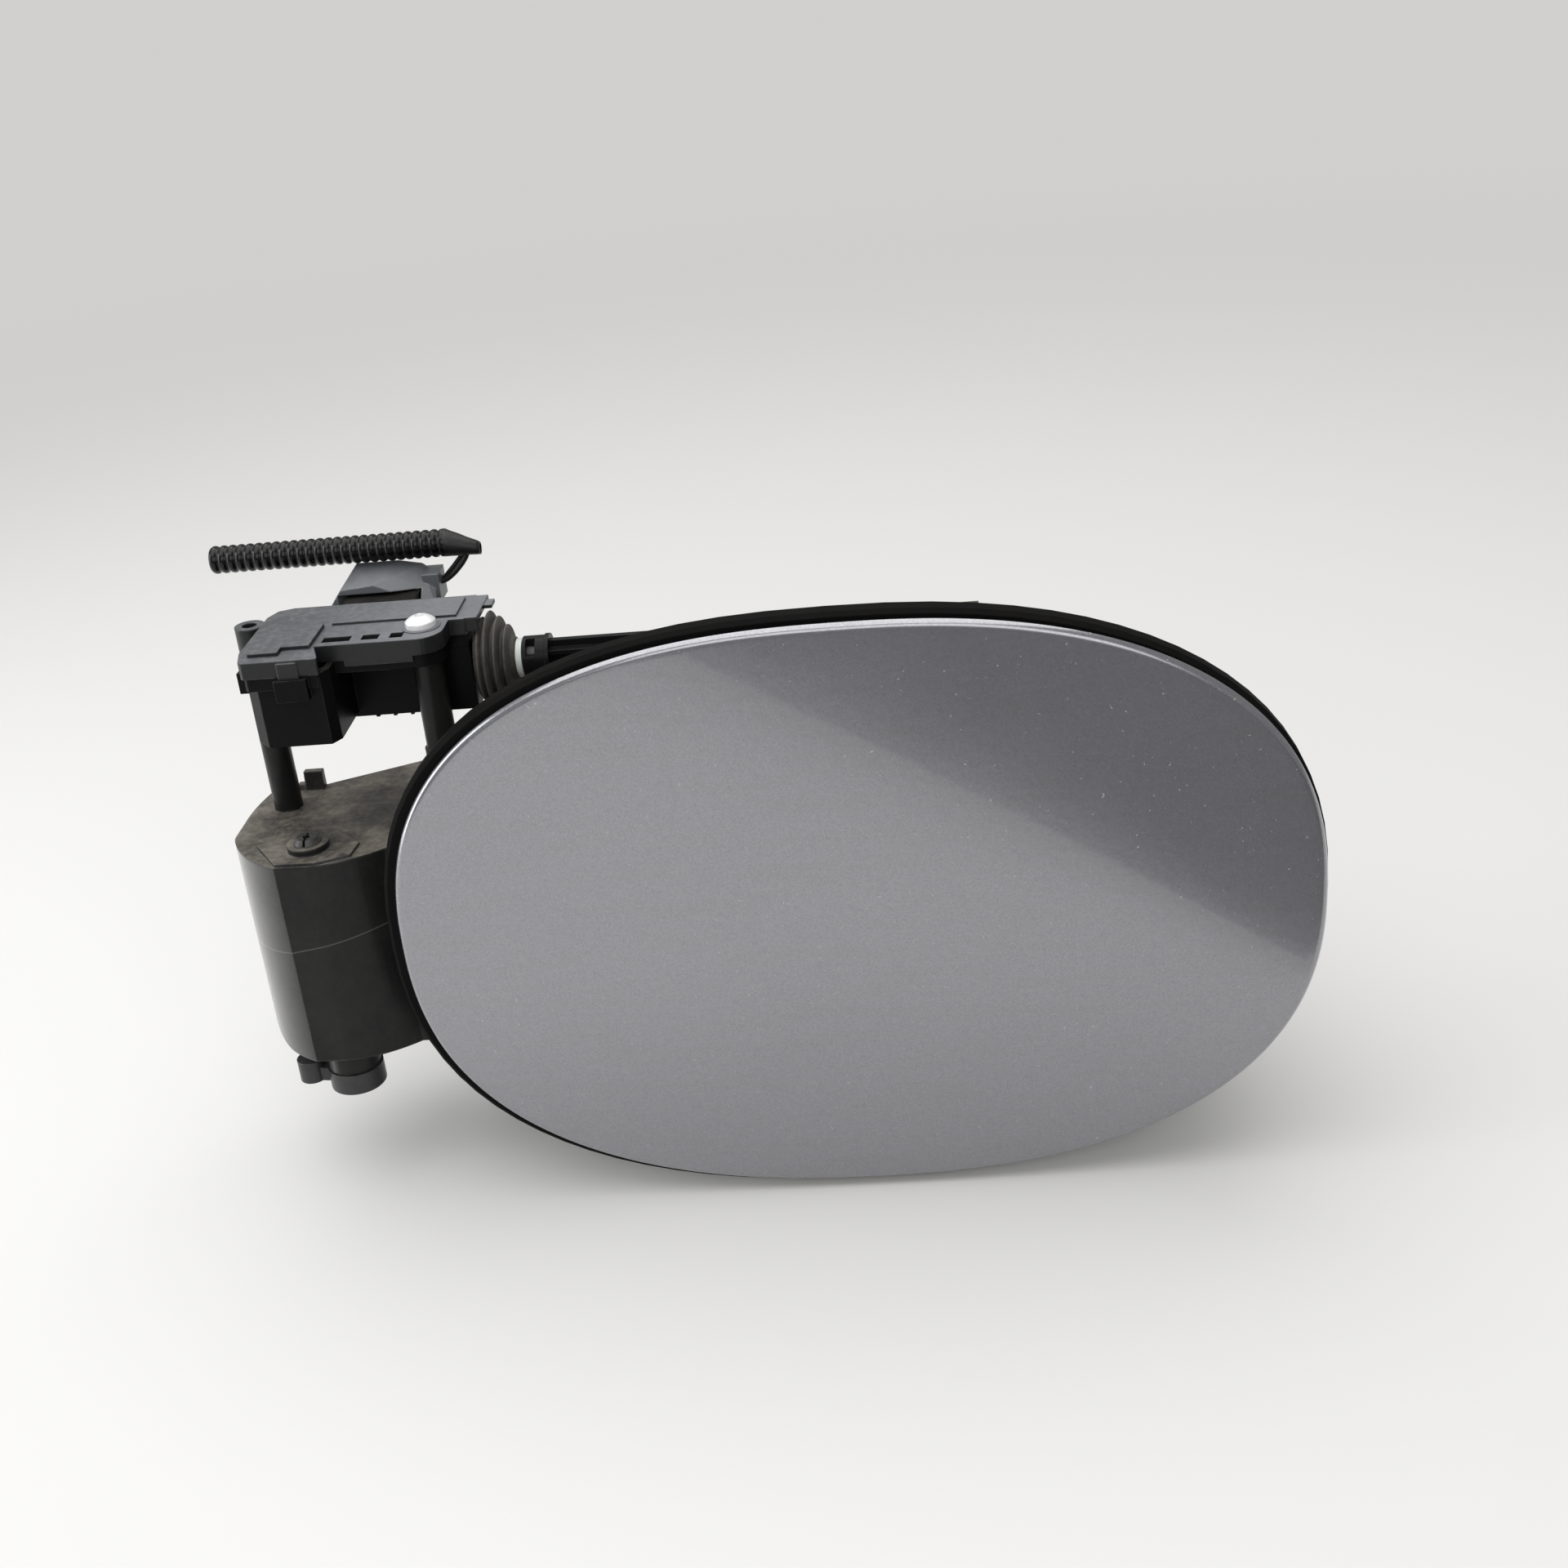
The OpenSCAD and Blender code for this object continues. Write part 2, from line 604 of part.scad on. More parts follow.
module actuator_base() {
    color([0.075, 0.075, 0.08]) from_face() difference() {
        union() {
            casing(0);
            for (i = [0:2])
                block([pin_x + 15 + 4 * i, mid_y + 1, mid_z - 0.8],
                    [pin_x + 15.8 + 4 * i, mid_back - 2, mid_z + 1]);
            socket_shell();
            block([pin_x + 0.4, act_y0 - 1.2, split_z - 5.4], [pin_x + 7.6, act_y0 + 2, split_z - 0.4]);
            block([act_x0 - 1, act_y0 + 5, split_z - 5], [act_x0 + 2, act_y0 + 9, split_z - 0.3]);
            rod_x(rod_y, rod_z, 4.8, act_x1 - 1, act_x1 + 0.9);
        }
        difference() {
            casing(act_wall);
            pole([gear_x, gear_y], 2.2, mid_z, worm_z - wheel_t / 2 - 0.2);
            block([worm_x - 4, mid_y - 16, deep_z], [worm_x + 4, mid_y - 1, worm_z - 5.1]);
        }
        rod_y(worm_x, worm_z, 0.96, mid_back - 2, mid_back - 0.7);
        pole([gear_x, gear_y], 1, mid_z + 1, split_z);
        pole(post_b, lug_r + 1, split_z - 4, split_z + 1);
        block([pin_x + 1.3, act_y0 - 0.6, split_z - 2.4], [pin_x + 6.4, act_y0 + 0.3, split_z]);
        rod_x(rod_y, rod_z, rod_r + 0.08, act_x1 - 3, act_x1 + 3);
        socket_cavity();
    }
}

// Open shell at the back that the plug goes over
module socket_shell() {
    block([plug_x - socket_w / 2, act_y1 - 2, act_top - 9.2], [plug_x + socket_w / 2, 63.4, act_top - 0.6]);
}
module socket_cavity() {
    half = socket_w / 2 - 1.3;
    block([plug_x - half, act_y1 + 1, act_top - 7.9], [plug_x + half, 70, act_top - 1.9]);
    for (x = pin_places()) block([x - 0.4, act_y1 - 4, act_top - 6.2], [x + 0.4, act_y1 + 3, act_top - 3.6]);
}
function pin_places() = [plug_x - 3, plug_x + 3];

module terminal_pins() {
    color([0.75, 0.68, 0.5]) from_face()
        for (x = pin_places()) block([x - 0.4, act_y1 - 5, act_top - 6.2], [x + 0.4, 61.5, act_top - 3.6]);
}

// Lid with three windows along its front and a raised band, and the two lugs
module actuator_cover() {
    windows = [[9.1, 15.4], [17.9, 21.7], [24.2, 27.1]];
    color([0.09, 0.09, 0.095]) from_face() difference() {
        union() {
            along_z(split_z, act_top) polygon(cover_outline(0));
            block([pin_x + 14, 25.5, split_z - 1.4], [post_b[0] - 1, 25.8, split_z + 1]);
            block([pin_x + 1.6, act_y0 - 0.5, split_z - 1.6], [pin_x + 6.1, act_y0 + 0.2, act_top - 0.5]);
            block([act_x1 - 2, 36.8, act_top - 1.3], [cover_end, act_y1 - 0.5, act_top]);
            block([act_x1 - 2, 36.8, split_z + 0.5], [cover_end, 37.8, act_top]);
            along_z(act_top - eps, act_top + 0.6)
                polygon([[pin_x + 9, 38], [act_x1 - 2, 38], [act_x1 - 2, 49.5], [pin_x + 9, 50.5]]);
            along_z(act_top - eps, act_top + 0.9)
                polygon([[pin_x - 5.5, 21], [pin_x + 1.2, 21], [pin_x + 1.2, 24.2], [pin_x + 7.4, 24.2],
                    [pin_x + 7.4, 37.4], [pin_x - 4, 38.2], [pin_x - 6.4, 33]]);
            pole(post_a, lug_r, lug_z, act_top);
            block([post_a[0], post_a[1] - 2.4, split_z], [act_x0 + 2, post_a[1] + 2.4, act_top - 0.6]);
            pole(post_b, lug_r + 0.85, lug_z, act_top + 0.2);
            block([cover_end - 1, 45, act_top - 1], [cover_end + 1.9, 49, act_top - 0.2]);
        }
        difference() {
            along_z(split_z - 3, act_top - act_wall) polygon(cover_outline(act_wall));
            pole(post_b, lug_r + 0.85, lug_z - 1, act_top);
            pole([gear_x, gear_y], 2, rack_z + rack_h + 0.7, act_top);
        }
        block([plug_x - socket_w / 2, act_y1 - 3, split_z - 1],
            [plug_x + socket_w / 2, act_y1 + 1, act_top - 0.6]);
        for (w = windows) block([pin_x + w[0], 27.6, split_z], [pin_x + w[1], 30.6, act_top + 2]);
        pole(post_a, lug_hole_r, lug_z - 1, act_top + 1);
        pole(post_b, lug_hole_r, lug_z - 1, act_top + 1);
        pole([gear_x, gear_y], 1, split_z - 4, act_top - 0.8);
    }
}

module actuator_screw() {
    color([0.75, 0.75, 0.77]) from_face() translate([post_b[0], post_b[1], act_top + 0.2]) difference() {
        union() {
            intersection() {
                translate([0, 0, -2.1]) sphere(r = 4.8, $fn = 48);
                cylinder(r = 3.4, h = 4, $fn = 48);
            }
            translate([0, 0, -15]) cylinder(r = 1.3, h = 15.2, $fn = 32);
        }
        translate([0, 0, 1.2]) cylinder(r = 1.2, h = 4, $fn = 6);
    }
}

module motor() {
    front = act_y0 + 3.2;
    color([0.6, 0.6, 0.62]) from_face() {
        intersection() {
            rod_y(worm_x, worm_z, 6, front, mid_y - 1);
            block([worm_x - 6, front, worm_z - 5], [worm_x + 6, mid_y - 1, worm_z + 5]);
        }
        rod_y(worm_x, worm_z, 2, mid_y - 1 - eps, mid_y - 0.2);
    }
}

// Two-start worm on its shaft, with a groove that faces the wheel's tooth
module worm() {
    len = 5 * PI * gear_m;
    y0 = gear_y - len / 2;
    color([0.85, 0.84, 0.8]) from_face() {
        rod_y(worm_x, worm_z, 0.9, mid_y, mid_back - 0.9);
        translate([worm_x, y0, worm_z]) rotate([-90, 0, 0])
            linear_extrude(height = len, twist = -360 * len / (2 * PI * gear_m), slices = 30)
                polygon([for (t = [0:30:330]) (worm_r - 0.1 + 0.45 * cos(2 * t)) * [cos(t), sin(t)]]);
    }
}

// Outline of a spur gear with n teeth of module gear_m
function gear_points(n) =
    let (tooth = [[-0.34, -1.1], [-0.2, -0.1], [-0.09, 0.7], [0.09, 0.7], [0.2, -0.1], [0.34, -1.1]])
    [for (i = [0:n - 1]) for (k = tooth)
        let (t = 360 * (i + k[0]) / n) gear_m * (n / 2 + k[1]) * [cos(t), sin(t)]];

// Wheel with slanted teeth for the worm, and a pinion above it for the rack
module gear_wheel() {
    color([0.88, 0.87, 0.83]) from_face() translate([gear_x, gear_y, 0]) difference() {
        union() {
            translate([0, 0, worm_z - wheel_t / 2]) rotate(180 - lead_twist / 2)
                linear_extrude(height = wheel_t, twist = -lead_twist, slices = 2)
                    polygon(gear_points(wheel_teeth));
            along_z(worm_z, rack_z) circle(r = pinion_r - 1.15 * gear_m, $fn = 32);
            along_z(rack_z - 0.4, rack_z + rack_h + 0.4) rotate(pinion_turn)
                polygon(gear_points(pinion_teeth));
        }
        translate([0, 0, worm_z - 3]) cylinder(r = 1.06, h = 20, $fn = 32);
    }
}

module gear_shaft() {
    color([0.7, 0.7, 0.72]) from_face() pole([gear_x, gear_y], 0.98, mid_z + 1.1, act_top - 0.9);
}

// White plunger: the rack inside the casing and the round neck that comes out of it
module plunger() {
    pitch = PI * gear_m;
    root = rack_y + 1.05 * gear_m;
    back = mid_back - act_wall - 0.2;
    x0 = gear_x - rod_travel - 1.5 * pitch;
    teeth = ceil(rod_travel / pitch) + 1;
    color([0.85, 0.86, 0.84]) from_face() {
        block([x0, root, rack_z], [neck_x, back, rack_z + rack_h]);
        along_z(rack_z, rack_z + rack_h)
            for (i = [-teeth:0])
                translate([gear_x + (i + 0.5) * pitch, rack_y])
                    polygon([[-0.34 * pitch, 1.1 * gear_m], [-0.09 * pitch, -0.7 * gear_m],
                        [0.09 * pitch, -0.7 * gear_m], [0.34 * pitch, 1.1 * gear_m]]);
        block([neck_x - 4, rod_y - 3, rod_z], [neck_x, back, rack_z + rack_h]);
        rod_x(rod_y, rod_z, rod_r, neck_x - 0.1, act_x1 + 9);
        rod_x(rod_y, rod_z, rod_r + 0.5, act_x1 + 9.6, act_x1 + 11);
        rod_x(rod_y, rod_z, rod_r - 0.9, act_x1 + 8.9, act_x1 + 15.6);
    }
}

// Rubber bellows between the casing and the plunger, squeezed when the rod is drawn in
module bellows() {
    t = 0.9;
    x0 = bellows_x[0];
    tops = [bellows_r - 1.6, bellows_r, bellows_r - 1.4, bellows_r - 3.3];
    pitch = (bellows_x[1] - x0 - 0.8) / 4;
    outer = concat([[rod_r + 3, 0], [bellows_r - 1.6, 0]],
        [for (i = [0:3]) for (p = [[0.3, 0.5], [0.5, 0], [0.7, 0.5], [1, 2.8]])
            [tops[i] - p[1], (i + p[0]) * pitch]],
        [[rod_r + 0.9, bellows_x[1] - x0]]);
    inner = concat([[rod_r + 0.1, bellows_x[1] - x0], [rod_r + 0.1, bellows_x[1] - x0 - 0.8]],
        [for (i = [3:-1:0]) for (p = [[0.9, max(rod_r + 0.3, tops[i] - 2.8 - t)], [0.5, tops[i] - 1.5 * t]])
            [p[1], (i + p[0]) * pitch]],
        [[rod_r + 3, 0.8]]);
    color([0.2, 0.19, 0.18]) from_face() translate([x0, rod_y, rod_z]) rotate([0, 90, 0])
        rotate_extrude($fn = 64) polygon(concat(outer, inner));
}

// Long ribbed rod clipped on the plunger by its collar
module lock_rod() {
    x0 = act_x1 + 11.2;
    x1 = latch_x - striker_t / 2 - 2.5;
    flange = sqrt(rod_r * rod_r - 2.2 * 2.2) - 0.1;
    color([0.06, 0.06, 0.065]) from_face() difference() {
        union() {
            rod_x(rod_y, rod_z, rod_r + 0.9, x0, x0 + 6);
            rod_x(rod_y, rod_z, rod_r + 1.2, x0 + 5, x0 + 6);
            along_x(x0 + 5.5, x1 - 12) {
                translate([rod_y - 0.8, rod_z - rod_r]) square([1.6, 2 * rod_r]);
                for (s = [-1, 1])
                    translate([rod_y - flange, rod_z + 1.7 * s - 0.5]) square([2 * flange, 1]);
            }
            rod_x(rod_y, rod_z, tip_r, x1 - 12.5, x1 - 1.5);
            translate([x1 - 1.6, rod_y, rod_z]) rotate([0, 90, 0])
                cylinder(r1 = tip_r, r2 = tip_r - 1.1, h = 1.6, $fn = 48);
        }
        rod_x(rod_y, rod_z, rod_r - 0.85, x0 - 1, x0 + 4.6);
        block([x0 + 0.8, rod_y - 8, rod_z + 1.6], [x0 + 2.9, rod_y - 1, rod_z + 8]);
    }
}

// Grey plug: a hood that widens towards its mouth, with the cable outlet at its right
module connector_plug() {
    front = [[-12.7, -11], [12.3, -11], [12.3, -4.2], [6.8, -1.8], [-1.7, 2.2], [-9.7, 1.4], [-12.3, -2]];
    rear = [[-11.2, -9.5], [11.3, -9.5], [11.3, 1.5], [8.3, 3.9], [2.9, 5], [-7.1, 5], [-10.7, -2]];
    heel = [for (p = rear) [0.86 * p[0], 0.8 * p[1] - 0.9]];
    half = socket_w / 2 + 0.3;
    color([0.33, 0.35, 0.38]) from_face() difference() {
        union() {
            hull() {
                along_y(57.6, 58.2) translate([plug_x, act_top]) polygon(front);
                along_y(66, 66.6) translate([plug_x, act_top]) polygon(rear);
            }
            hull() {
                along_y(66.3, 66.6) translate([plug_x, act_top]) polygon(rear);
                along_y(71.4, 71.6) translate([plug_x, act_top]) polygon(heel);
            }
            block([plug_x + 8.8, 62, act_top - 4.4], [plug_x + 12.7, 69, act_top + 2.4]);
        }
        block([plug_x - half, 50, act_top - 9.5], [plug_x + half, 63.7, act_top - 0.3]);
        hull() {
            block([plug_x - 10.7, 57, act_top - 9.5], [plug_x + 8.3, 57.2, act_top + 0.4]);
            block([plug_x - 8.7, 62, act_top - 9], [plug_x + 7.3, 62.2, act_top - 0.6]);
        }
        for (x = pin_places()) block([x - 0.8, 60, act_top - 6.6], [x + 0.8, 65, act_top - 3.2]);
        for (y = wire_rows()) rod_x(y, wire_z(0), wire_r + 0.06, plug_x + 10.3, plug_x + 13.3);
    }
}

// Corrugated tube that ends in a bare cut on the left and a taped taper on the right
module conduit() {
    ribs = floor(conduit_len / rib_pitch);
    deep = 0.5;
    slot = wire_gap + wire_r + 0.07;
    profile = concat(
        [[conduit_r - 0.9, 0]],
        [for (i = [0:ribs - 1]) for (p = [[0.1, 0], [0.3, 1], [0.7, 1], [0.9, 0]])
            [conduit_r - deep + deep * p[1], (i + p[0]) * rib_pitch]],
        [[conduit_r - deep, ribs * rib_pitch], [conduit_r - 0.9, ribs * rib_pitch]]);
    x1 = conduit_x0 + ribs * rib_pitch;
    color([0.1, 0.1, 0.11]) from_face() {
        translate([conduit_x0, conduit_y, conduit_z]) rotate([0, 90, 0])
            rotate_extrude($fn = 48) polygon(profile);
        difference() {
            translate([x1 - 0.5, conduit_y, conduit_z]) rotate([0, 90 + tape_lean, 0])
                cylinder(r1 = conduit_r - 0.3, r2 = 1.3, h = 7.5, $fn = 48);
            rod_x(conduit_y, conduit_z, conduit_r - 1, x1 - 1, x1 + 1.6);
            block([x1 - 1, conduit_y - slot, conduit_z - 5], [x1 + 4.9, conduit_y + slot, conduit_z + 1.5]);
        }
    }
}

// Route of the wires from the plug's outlet, up and back into the conduit
wire_route = [
    [11.7, -9.1], [13.1, -8.9], [14.9, -7.6], [16.9, -5.7], [18.7, -3.6], [19.35, -2.4], [19.35, -1.2],
    [18.7, -0.06], [17.8, 0.5], [16.7, 0.65], [14.3, 0.4], [11.3, 0.05], [2.3, 0], [-7.7, 0], [-17.7, 0],
    [-27.7, 0], [-37.7, 0], [-40.1, 0]
];
function wire_z(i) = conduit_z + wire_route[i][1];
function wire_rows() = [conduit_y - wire_gap, conduit_y + wire_gap];

module wire(row) {
    path = [for (i = [0:len(wire_route) - 1]) [plug_x + wire_route[i][0], row, wire_z(i)]];
    sweep(path, wire_r, 8, [0, 1, 0]);
}
module wire_front() {
    color([0.06, 0.06, 0.06]) from_face() wire(wire_rows()[0]);
}
module wire_rear() {
    color([0.1, 0.1, 0.1]) from_face() wire(wire_rows()[1]);
}

pocket_housing();
rim_seal();
neck_seal();
bumpers();
hinge_pin();
hinge_spring();
hinge_arm();
arm_screws();
flap_panel();
flap_skin();
actuator_base();
actuator_cover();
actuator_screw();
motor();
worm();
gear_wheel();
gear_shaft();
plunger();
bellows();
lock_rod();
terminal_pins();
connector_plug();
conduit();
wire_front();
wire_rear();
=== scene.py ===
import math

import bmesh
import bpy
from mathutils import Matrix, Vector, noise


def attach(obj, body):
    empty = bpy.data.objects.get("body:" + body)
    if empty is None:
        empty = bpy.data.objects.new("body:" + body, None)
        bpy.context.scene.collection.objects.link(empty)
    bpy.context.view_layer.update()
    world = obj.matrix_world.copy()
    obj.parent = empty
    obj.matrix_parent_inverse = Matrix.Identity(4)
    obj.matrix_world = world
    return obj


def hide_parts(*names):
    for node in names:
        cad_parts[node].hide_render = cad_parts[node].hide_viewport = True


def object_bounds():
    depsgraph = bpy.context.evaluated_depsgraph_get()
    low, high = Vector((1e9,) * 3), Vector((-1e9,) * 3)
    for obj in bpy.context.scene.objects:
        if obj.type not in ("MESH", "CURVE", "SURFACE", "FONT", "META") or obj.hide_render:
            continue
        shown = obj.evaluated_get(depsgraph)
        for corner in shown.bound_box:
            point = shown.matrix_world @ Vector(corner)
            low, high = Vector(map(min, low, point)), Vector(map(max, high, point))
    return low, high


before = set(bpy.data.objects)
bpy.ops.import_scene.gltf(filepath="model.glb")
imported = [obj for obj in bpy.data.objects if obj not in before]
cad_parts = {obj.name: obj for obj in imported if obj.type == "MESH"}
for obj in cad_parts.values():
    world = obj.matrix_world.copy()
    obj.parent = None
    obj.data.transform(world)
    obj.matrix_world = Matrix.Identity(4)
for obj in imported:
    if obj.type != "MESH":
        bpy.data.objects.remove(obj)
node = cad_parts
cad_box = [list(corner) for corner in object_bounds()]

# Camera: it looks down on the flap from half a metre away, a little from the latch side.
# The lens is 45 mm on a 36 mm sensor, and the picture is turned a few degrees.
MM = 0.001
STANDPOINT = Vector((18.769, -434.734, 206.041))
yaw, pitch, roll = (math.radians(a) for a in (4.853, 25.0, -5.848))
back = Vector((math.sin(yaw) * math.cos(pitch), -math.cos(yaw) * math.cos(pitch), math.sin(pitch)))
level = Vector((math.cos(yaw), math.sin(yaw), 0))
upright = back.cross(level)
right = math.cos(roll) * level + math.sin(roll) * upright
up = back.cross(right)
camera_data = bpy.data.cameras.new("camera")
camera_data.lens = 45
camera_data.sensor_width = 36
camera_data.clip_start = 0.01
camera = bpy.data.objects.new("camera", camera_data)
turned_to = Matrix((right, up, back)).transposed().to_4x4()
camera.matrix_world = Matrix.Translation(STANDPOINT * MM) @ turned_to
bpy.context.collection.objects.link(camera)
bpy.context.scene.camera = camera

# Room: a pale table top that runs out past the picture, under a plain pale sky.
# The table lies under the lowest edge of the pocket, and fades into the grey that the camera sees behind it.
BACKDROP_GREY = (0.64, 0.625, 0.61, 1)
SKY_PALE = (0.97, 0.98, 1.0, 1)
SKY_STRENGTH = 0.34
TABLE_PALE = (0.7, 0.7, 0.695, 1)
TABLE_HALF = 9
FADE_NEAR, FADE_FAR, FADE_START = 0.2, 1.4, 0.1
TABLE_GAP = 0.0005


def put(tree, kind, links=(), **values):
    """A node of that kind, with its settings, and (socket, value or output) for its inputs."""
    made = tree.nodes.new("ShaderNode" + kind)
    for key, value in values.items():
        setattr(made, key, value)
    for socket, value in links:
        if isinstance(value, bpy.types.NodeSocket):
            tree.links.new(value, made.inputs[socket])
        else:
            made.inputs[socket].default_value = value
    return made


def stage_sheet(name, finish, bm, gap):
    """A flat sheet of the stage, that far under the pocket's lowest edge, and its material's nodes."""
    data = bpy.data.meshes.new(name)
    bm.to_mesh(data)
    bm.free()
    sheet = bpy.data.objects.new(name, data)
    sheet.location = (0, 0, cad_box[0][2] - gap)
    bpy.context.collection.objects.link(sheet)
    paint = bpy.data.materials.new(finish)
    paint.use_nodes = True
    data.materials.append(paint)
    return sheet, paint.node_tree


scene = bpy.context.scene
scene.view_settings.view_transform = "Standard"
world = bpy.data.worlds.new("room")
scene.world = world
world.use_nodes = True
sky = world.node_tree
sky.nodes.clear()
seen = put(sky, "LightPath").outputs
either = put(sky, "Math", [(0, seen["Is Camera Ray"]), (1, seen["Is Transmission Ray"])], operation="MAXIMUM")
lit = put(sky, "Background", [("Color", SKY_PALE), ("Strength", SKY_STRENGTH)])
shown = put(sky, "Background", [("Color", BACKDROP_GREY)])
pick = put(sky, "MixShader", [("Fac", either.outputs[0]), (1, lit.outputs[0]), (2, shown.outputs[0])])
put(sky, "OutputWorld", [("Surface", pick.outputs[0])])

table_bm = bmesh.new()
bmesh.ops.create_grid(table_bm, x_segments=1, y_segments=1, size=TABLE_HALF)
table, tree = stage_sheet("table_top", "table_laminate", table_bm, TABLE_GAP)
shader = tree.nodes["Principled BSDF"]
shader.inputs["Base Color"].default_value = TABLE_PALE
shader.inputs["Roughness"].default_value = 0.7
shader.inputs["Specular IOR Level"].default_value = 0.15
reach = put(tree, "VectorMath", [(0, put(tree, "TexCoord").outputs["Object"])], operation="LENGTH")
fade = put(tree, "MapRange", [("Value", reach.outputs["Value"]), ("From Min", FADE_NEAR), ("From Max", FADE_FAR),
                              ("To Min", FADE_START)], interpolation_type="SMOOTHSTEP")
veil = put(tree, "Math", [(0, fade.outputs["Result"]), (1, put(tree, "LightPath").outputs["Is Camera Ray"])],
           operation="MULTIPLY")
haze = put(tree, "Emission", [("Color", BACKDROP_GREY)])
blend = put(tree, "MixShader", [("Fac", veil.outputs[0]), (1, shader.outputs[0]), (2, haze.outputs[0])])
tree.links.new(blend.outputs[0], tree.nodes["Material Output"].inputs["Surface"])


# Lamps: a broad ceiling light, daylight from the left and a weak fill from in front.
# All three are soft, so that the lacquer shows wide highlights and the shade on the table is faint.
def lamp(name, place, aim, size, watts, colour):
    """A rectangular lamp at that place, turned to the point that it is aimed at."""
    data = bpy.data.lights.new(name, "AREA")
    data.shape = "RECTANGLE"
    data.size, data.size_y = size
    data.energy = watts
    data.color = colour
    obj = bpy.data.objects.new(name, data)
    obj.location = place
    obj.rotation_euler = (Vector(aim) - Vector(place)).to_track_quat("-Z", "Y").to_euler()
    bpy.context.collection.objects.link(obj)


lamp("ceiling_lamp", (-0.2, 0.05, 1.25), (0, 0, 0), (2.0, 1.6), 22, (1.0, 0.985, 0.965))
lamp("window_lamp", (-0.8, -0.1, 0.22), (-0.13, -0.02, 0), (0.35, 0.6), 2.6, (0.97, 0.985, 1.0))
lamp("front_fill", (0.1, -1.1, 0.6), (0, -0.25, -0.07), (1.2, 0.7), 5.0, (1.0, 0.99, 0.97))

# Dark card: it lies in front of the part, to the right, and shows only in glossy surfaces,
# where it is the dim side of the room that the lacquer mirrors, with two brown strips.
# A strip is (lean from the front-to-back line, its place across, half width, soft edge, strength).
CARD_CORNERS = ((0.122, -0.143, 0), (-0.5, -1.51, 0), (1.6, -1.51, 0), (1.6, -0.143, 0))
CARD_GREY = (0.095, 0.093, 0.102, 1)
CARD_BROWN = (0.12, 0.106, 0.112, 1)
CARD_STRIPS = ((0.0246, 0.0637, 0.004, 0.005, 1.0), (0.1296, 0.1014, 0.008, 0.01, 0.7))
card_bm = bmesh.new()
card_bm.faces.new([card_bm.verts.new(corner) for corner in CARD_CORNERS])
card, tree = stage_sheet("dark_card", "dark_card", card_bm, 0)
place = put(tree, "TexCoord").outputs["Object"]
tone = CARD_GREY
for lean, start, half, soft, strength in CARD_STRIPS:
    across = put(tree, "VectorMath", [(0, place), (1, (1, lean, 0))], operation="DOT_PRODUCT").outputs["Value"]
    off = put(tree, "Math", [(0, across), (1, start)], operation="SUBTRACT").outputs[0]
    far = put(tree, "Math", [(0, off)], operation="ABSOLUTE").outputs[0]
    strip = put(tree, "MapRange", [("Value", far), ("From Min", half), ("From Max", half + soft),
                                   ("To Min", strength), ("To Max", 0.0)]).outputs["Result"]
    tone = put(tree, "Mix", [("Factor", strip), ("A", tone), ("B", CARD_BROWN)], data_type="RGBA").outputs["Result"]
shader = tree.nodes["Principled BSDF"]
tree.links.new(tone, shader.inputs["Base Color"])
mirrored = put(tree, "LightPath").outputs["Is Glossy Ray"]
unseen = put(tree, "BsdfTransparent")
choose = put(tree, "MixShader", [("Fac", mirrored), (1, unseen.outputs[0]), (2, shader.outputs[0])])
tree.links.new(choose.outputs[0], tree.nodes["Material Output"].inputs["Surface"])

# Wires: two thin black PVC wires leave the plug side by side, turn up and back,
# and run through the conduit to a bare cut at its far end.
# The route is given as (x, z) from the plug, in millimetres, and LOOP says where the two stand apart.
DEPTH = 66
PLUG_X = -106.3
PORT_Z = 70.6
WIRE_R = 0.6
WIRE_ROWS = (("wire_front", 65.25, 0.45), ("wire_rear", 66.75, -0.45))
LOOP = (0, 0.3, 0.8, 1, 1, 1, 1, 0.9, 0.7, 0.5, 0.2)
ROUTE = [(11.7, -9.1), (13.1, -8.9), (14.9, -7.6), (16.9, -5.7), (18.7, -3.6), (19.35, -2.4), (19.35, -1.2),
         (18.7, -0.06), (17.8, 0.5), (16.7, 0.65), (14.3, 0.4), (11.3, 0.05), (2.3, 0), (-7.7, 0), (-17.7, 0),
         (-27.7, 0), (-37.7, 0), (-40.1, 0)]


def group(name, inputs, outputs):
    """A shader node group from inputs given as (name, kind, value) and outputs as (name, kind)."""
    tree = bpy.data.node_groups.new(name, "ShaderNodeTree")
    for label, kind, value in inputs:
        socket = tree.interface.new_socket(label, in_out="INPUT", socket_type="NodeSocket" + kind)
        socket.default_value = value
    for label, kind in outputs:
        tree.interface.new_socket(label, in_out="OUTPUT", socket_type="NodeSocket" + kind)
    return tree, tree.nodes.new("NodeGroupInput"), tree.nodes.new("NodeGroupOutput")


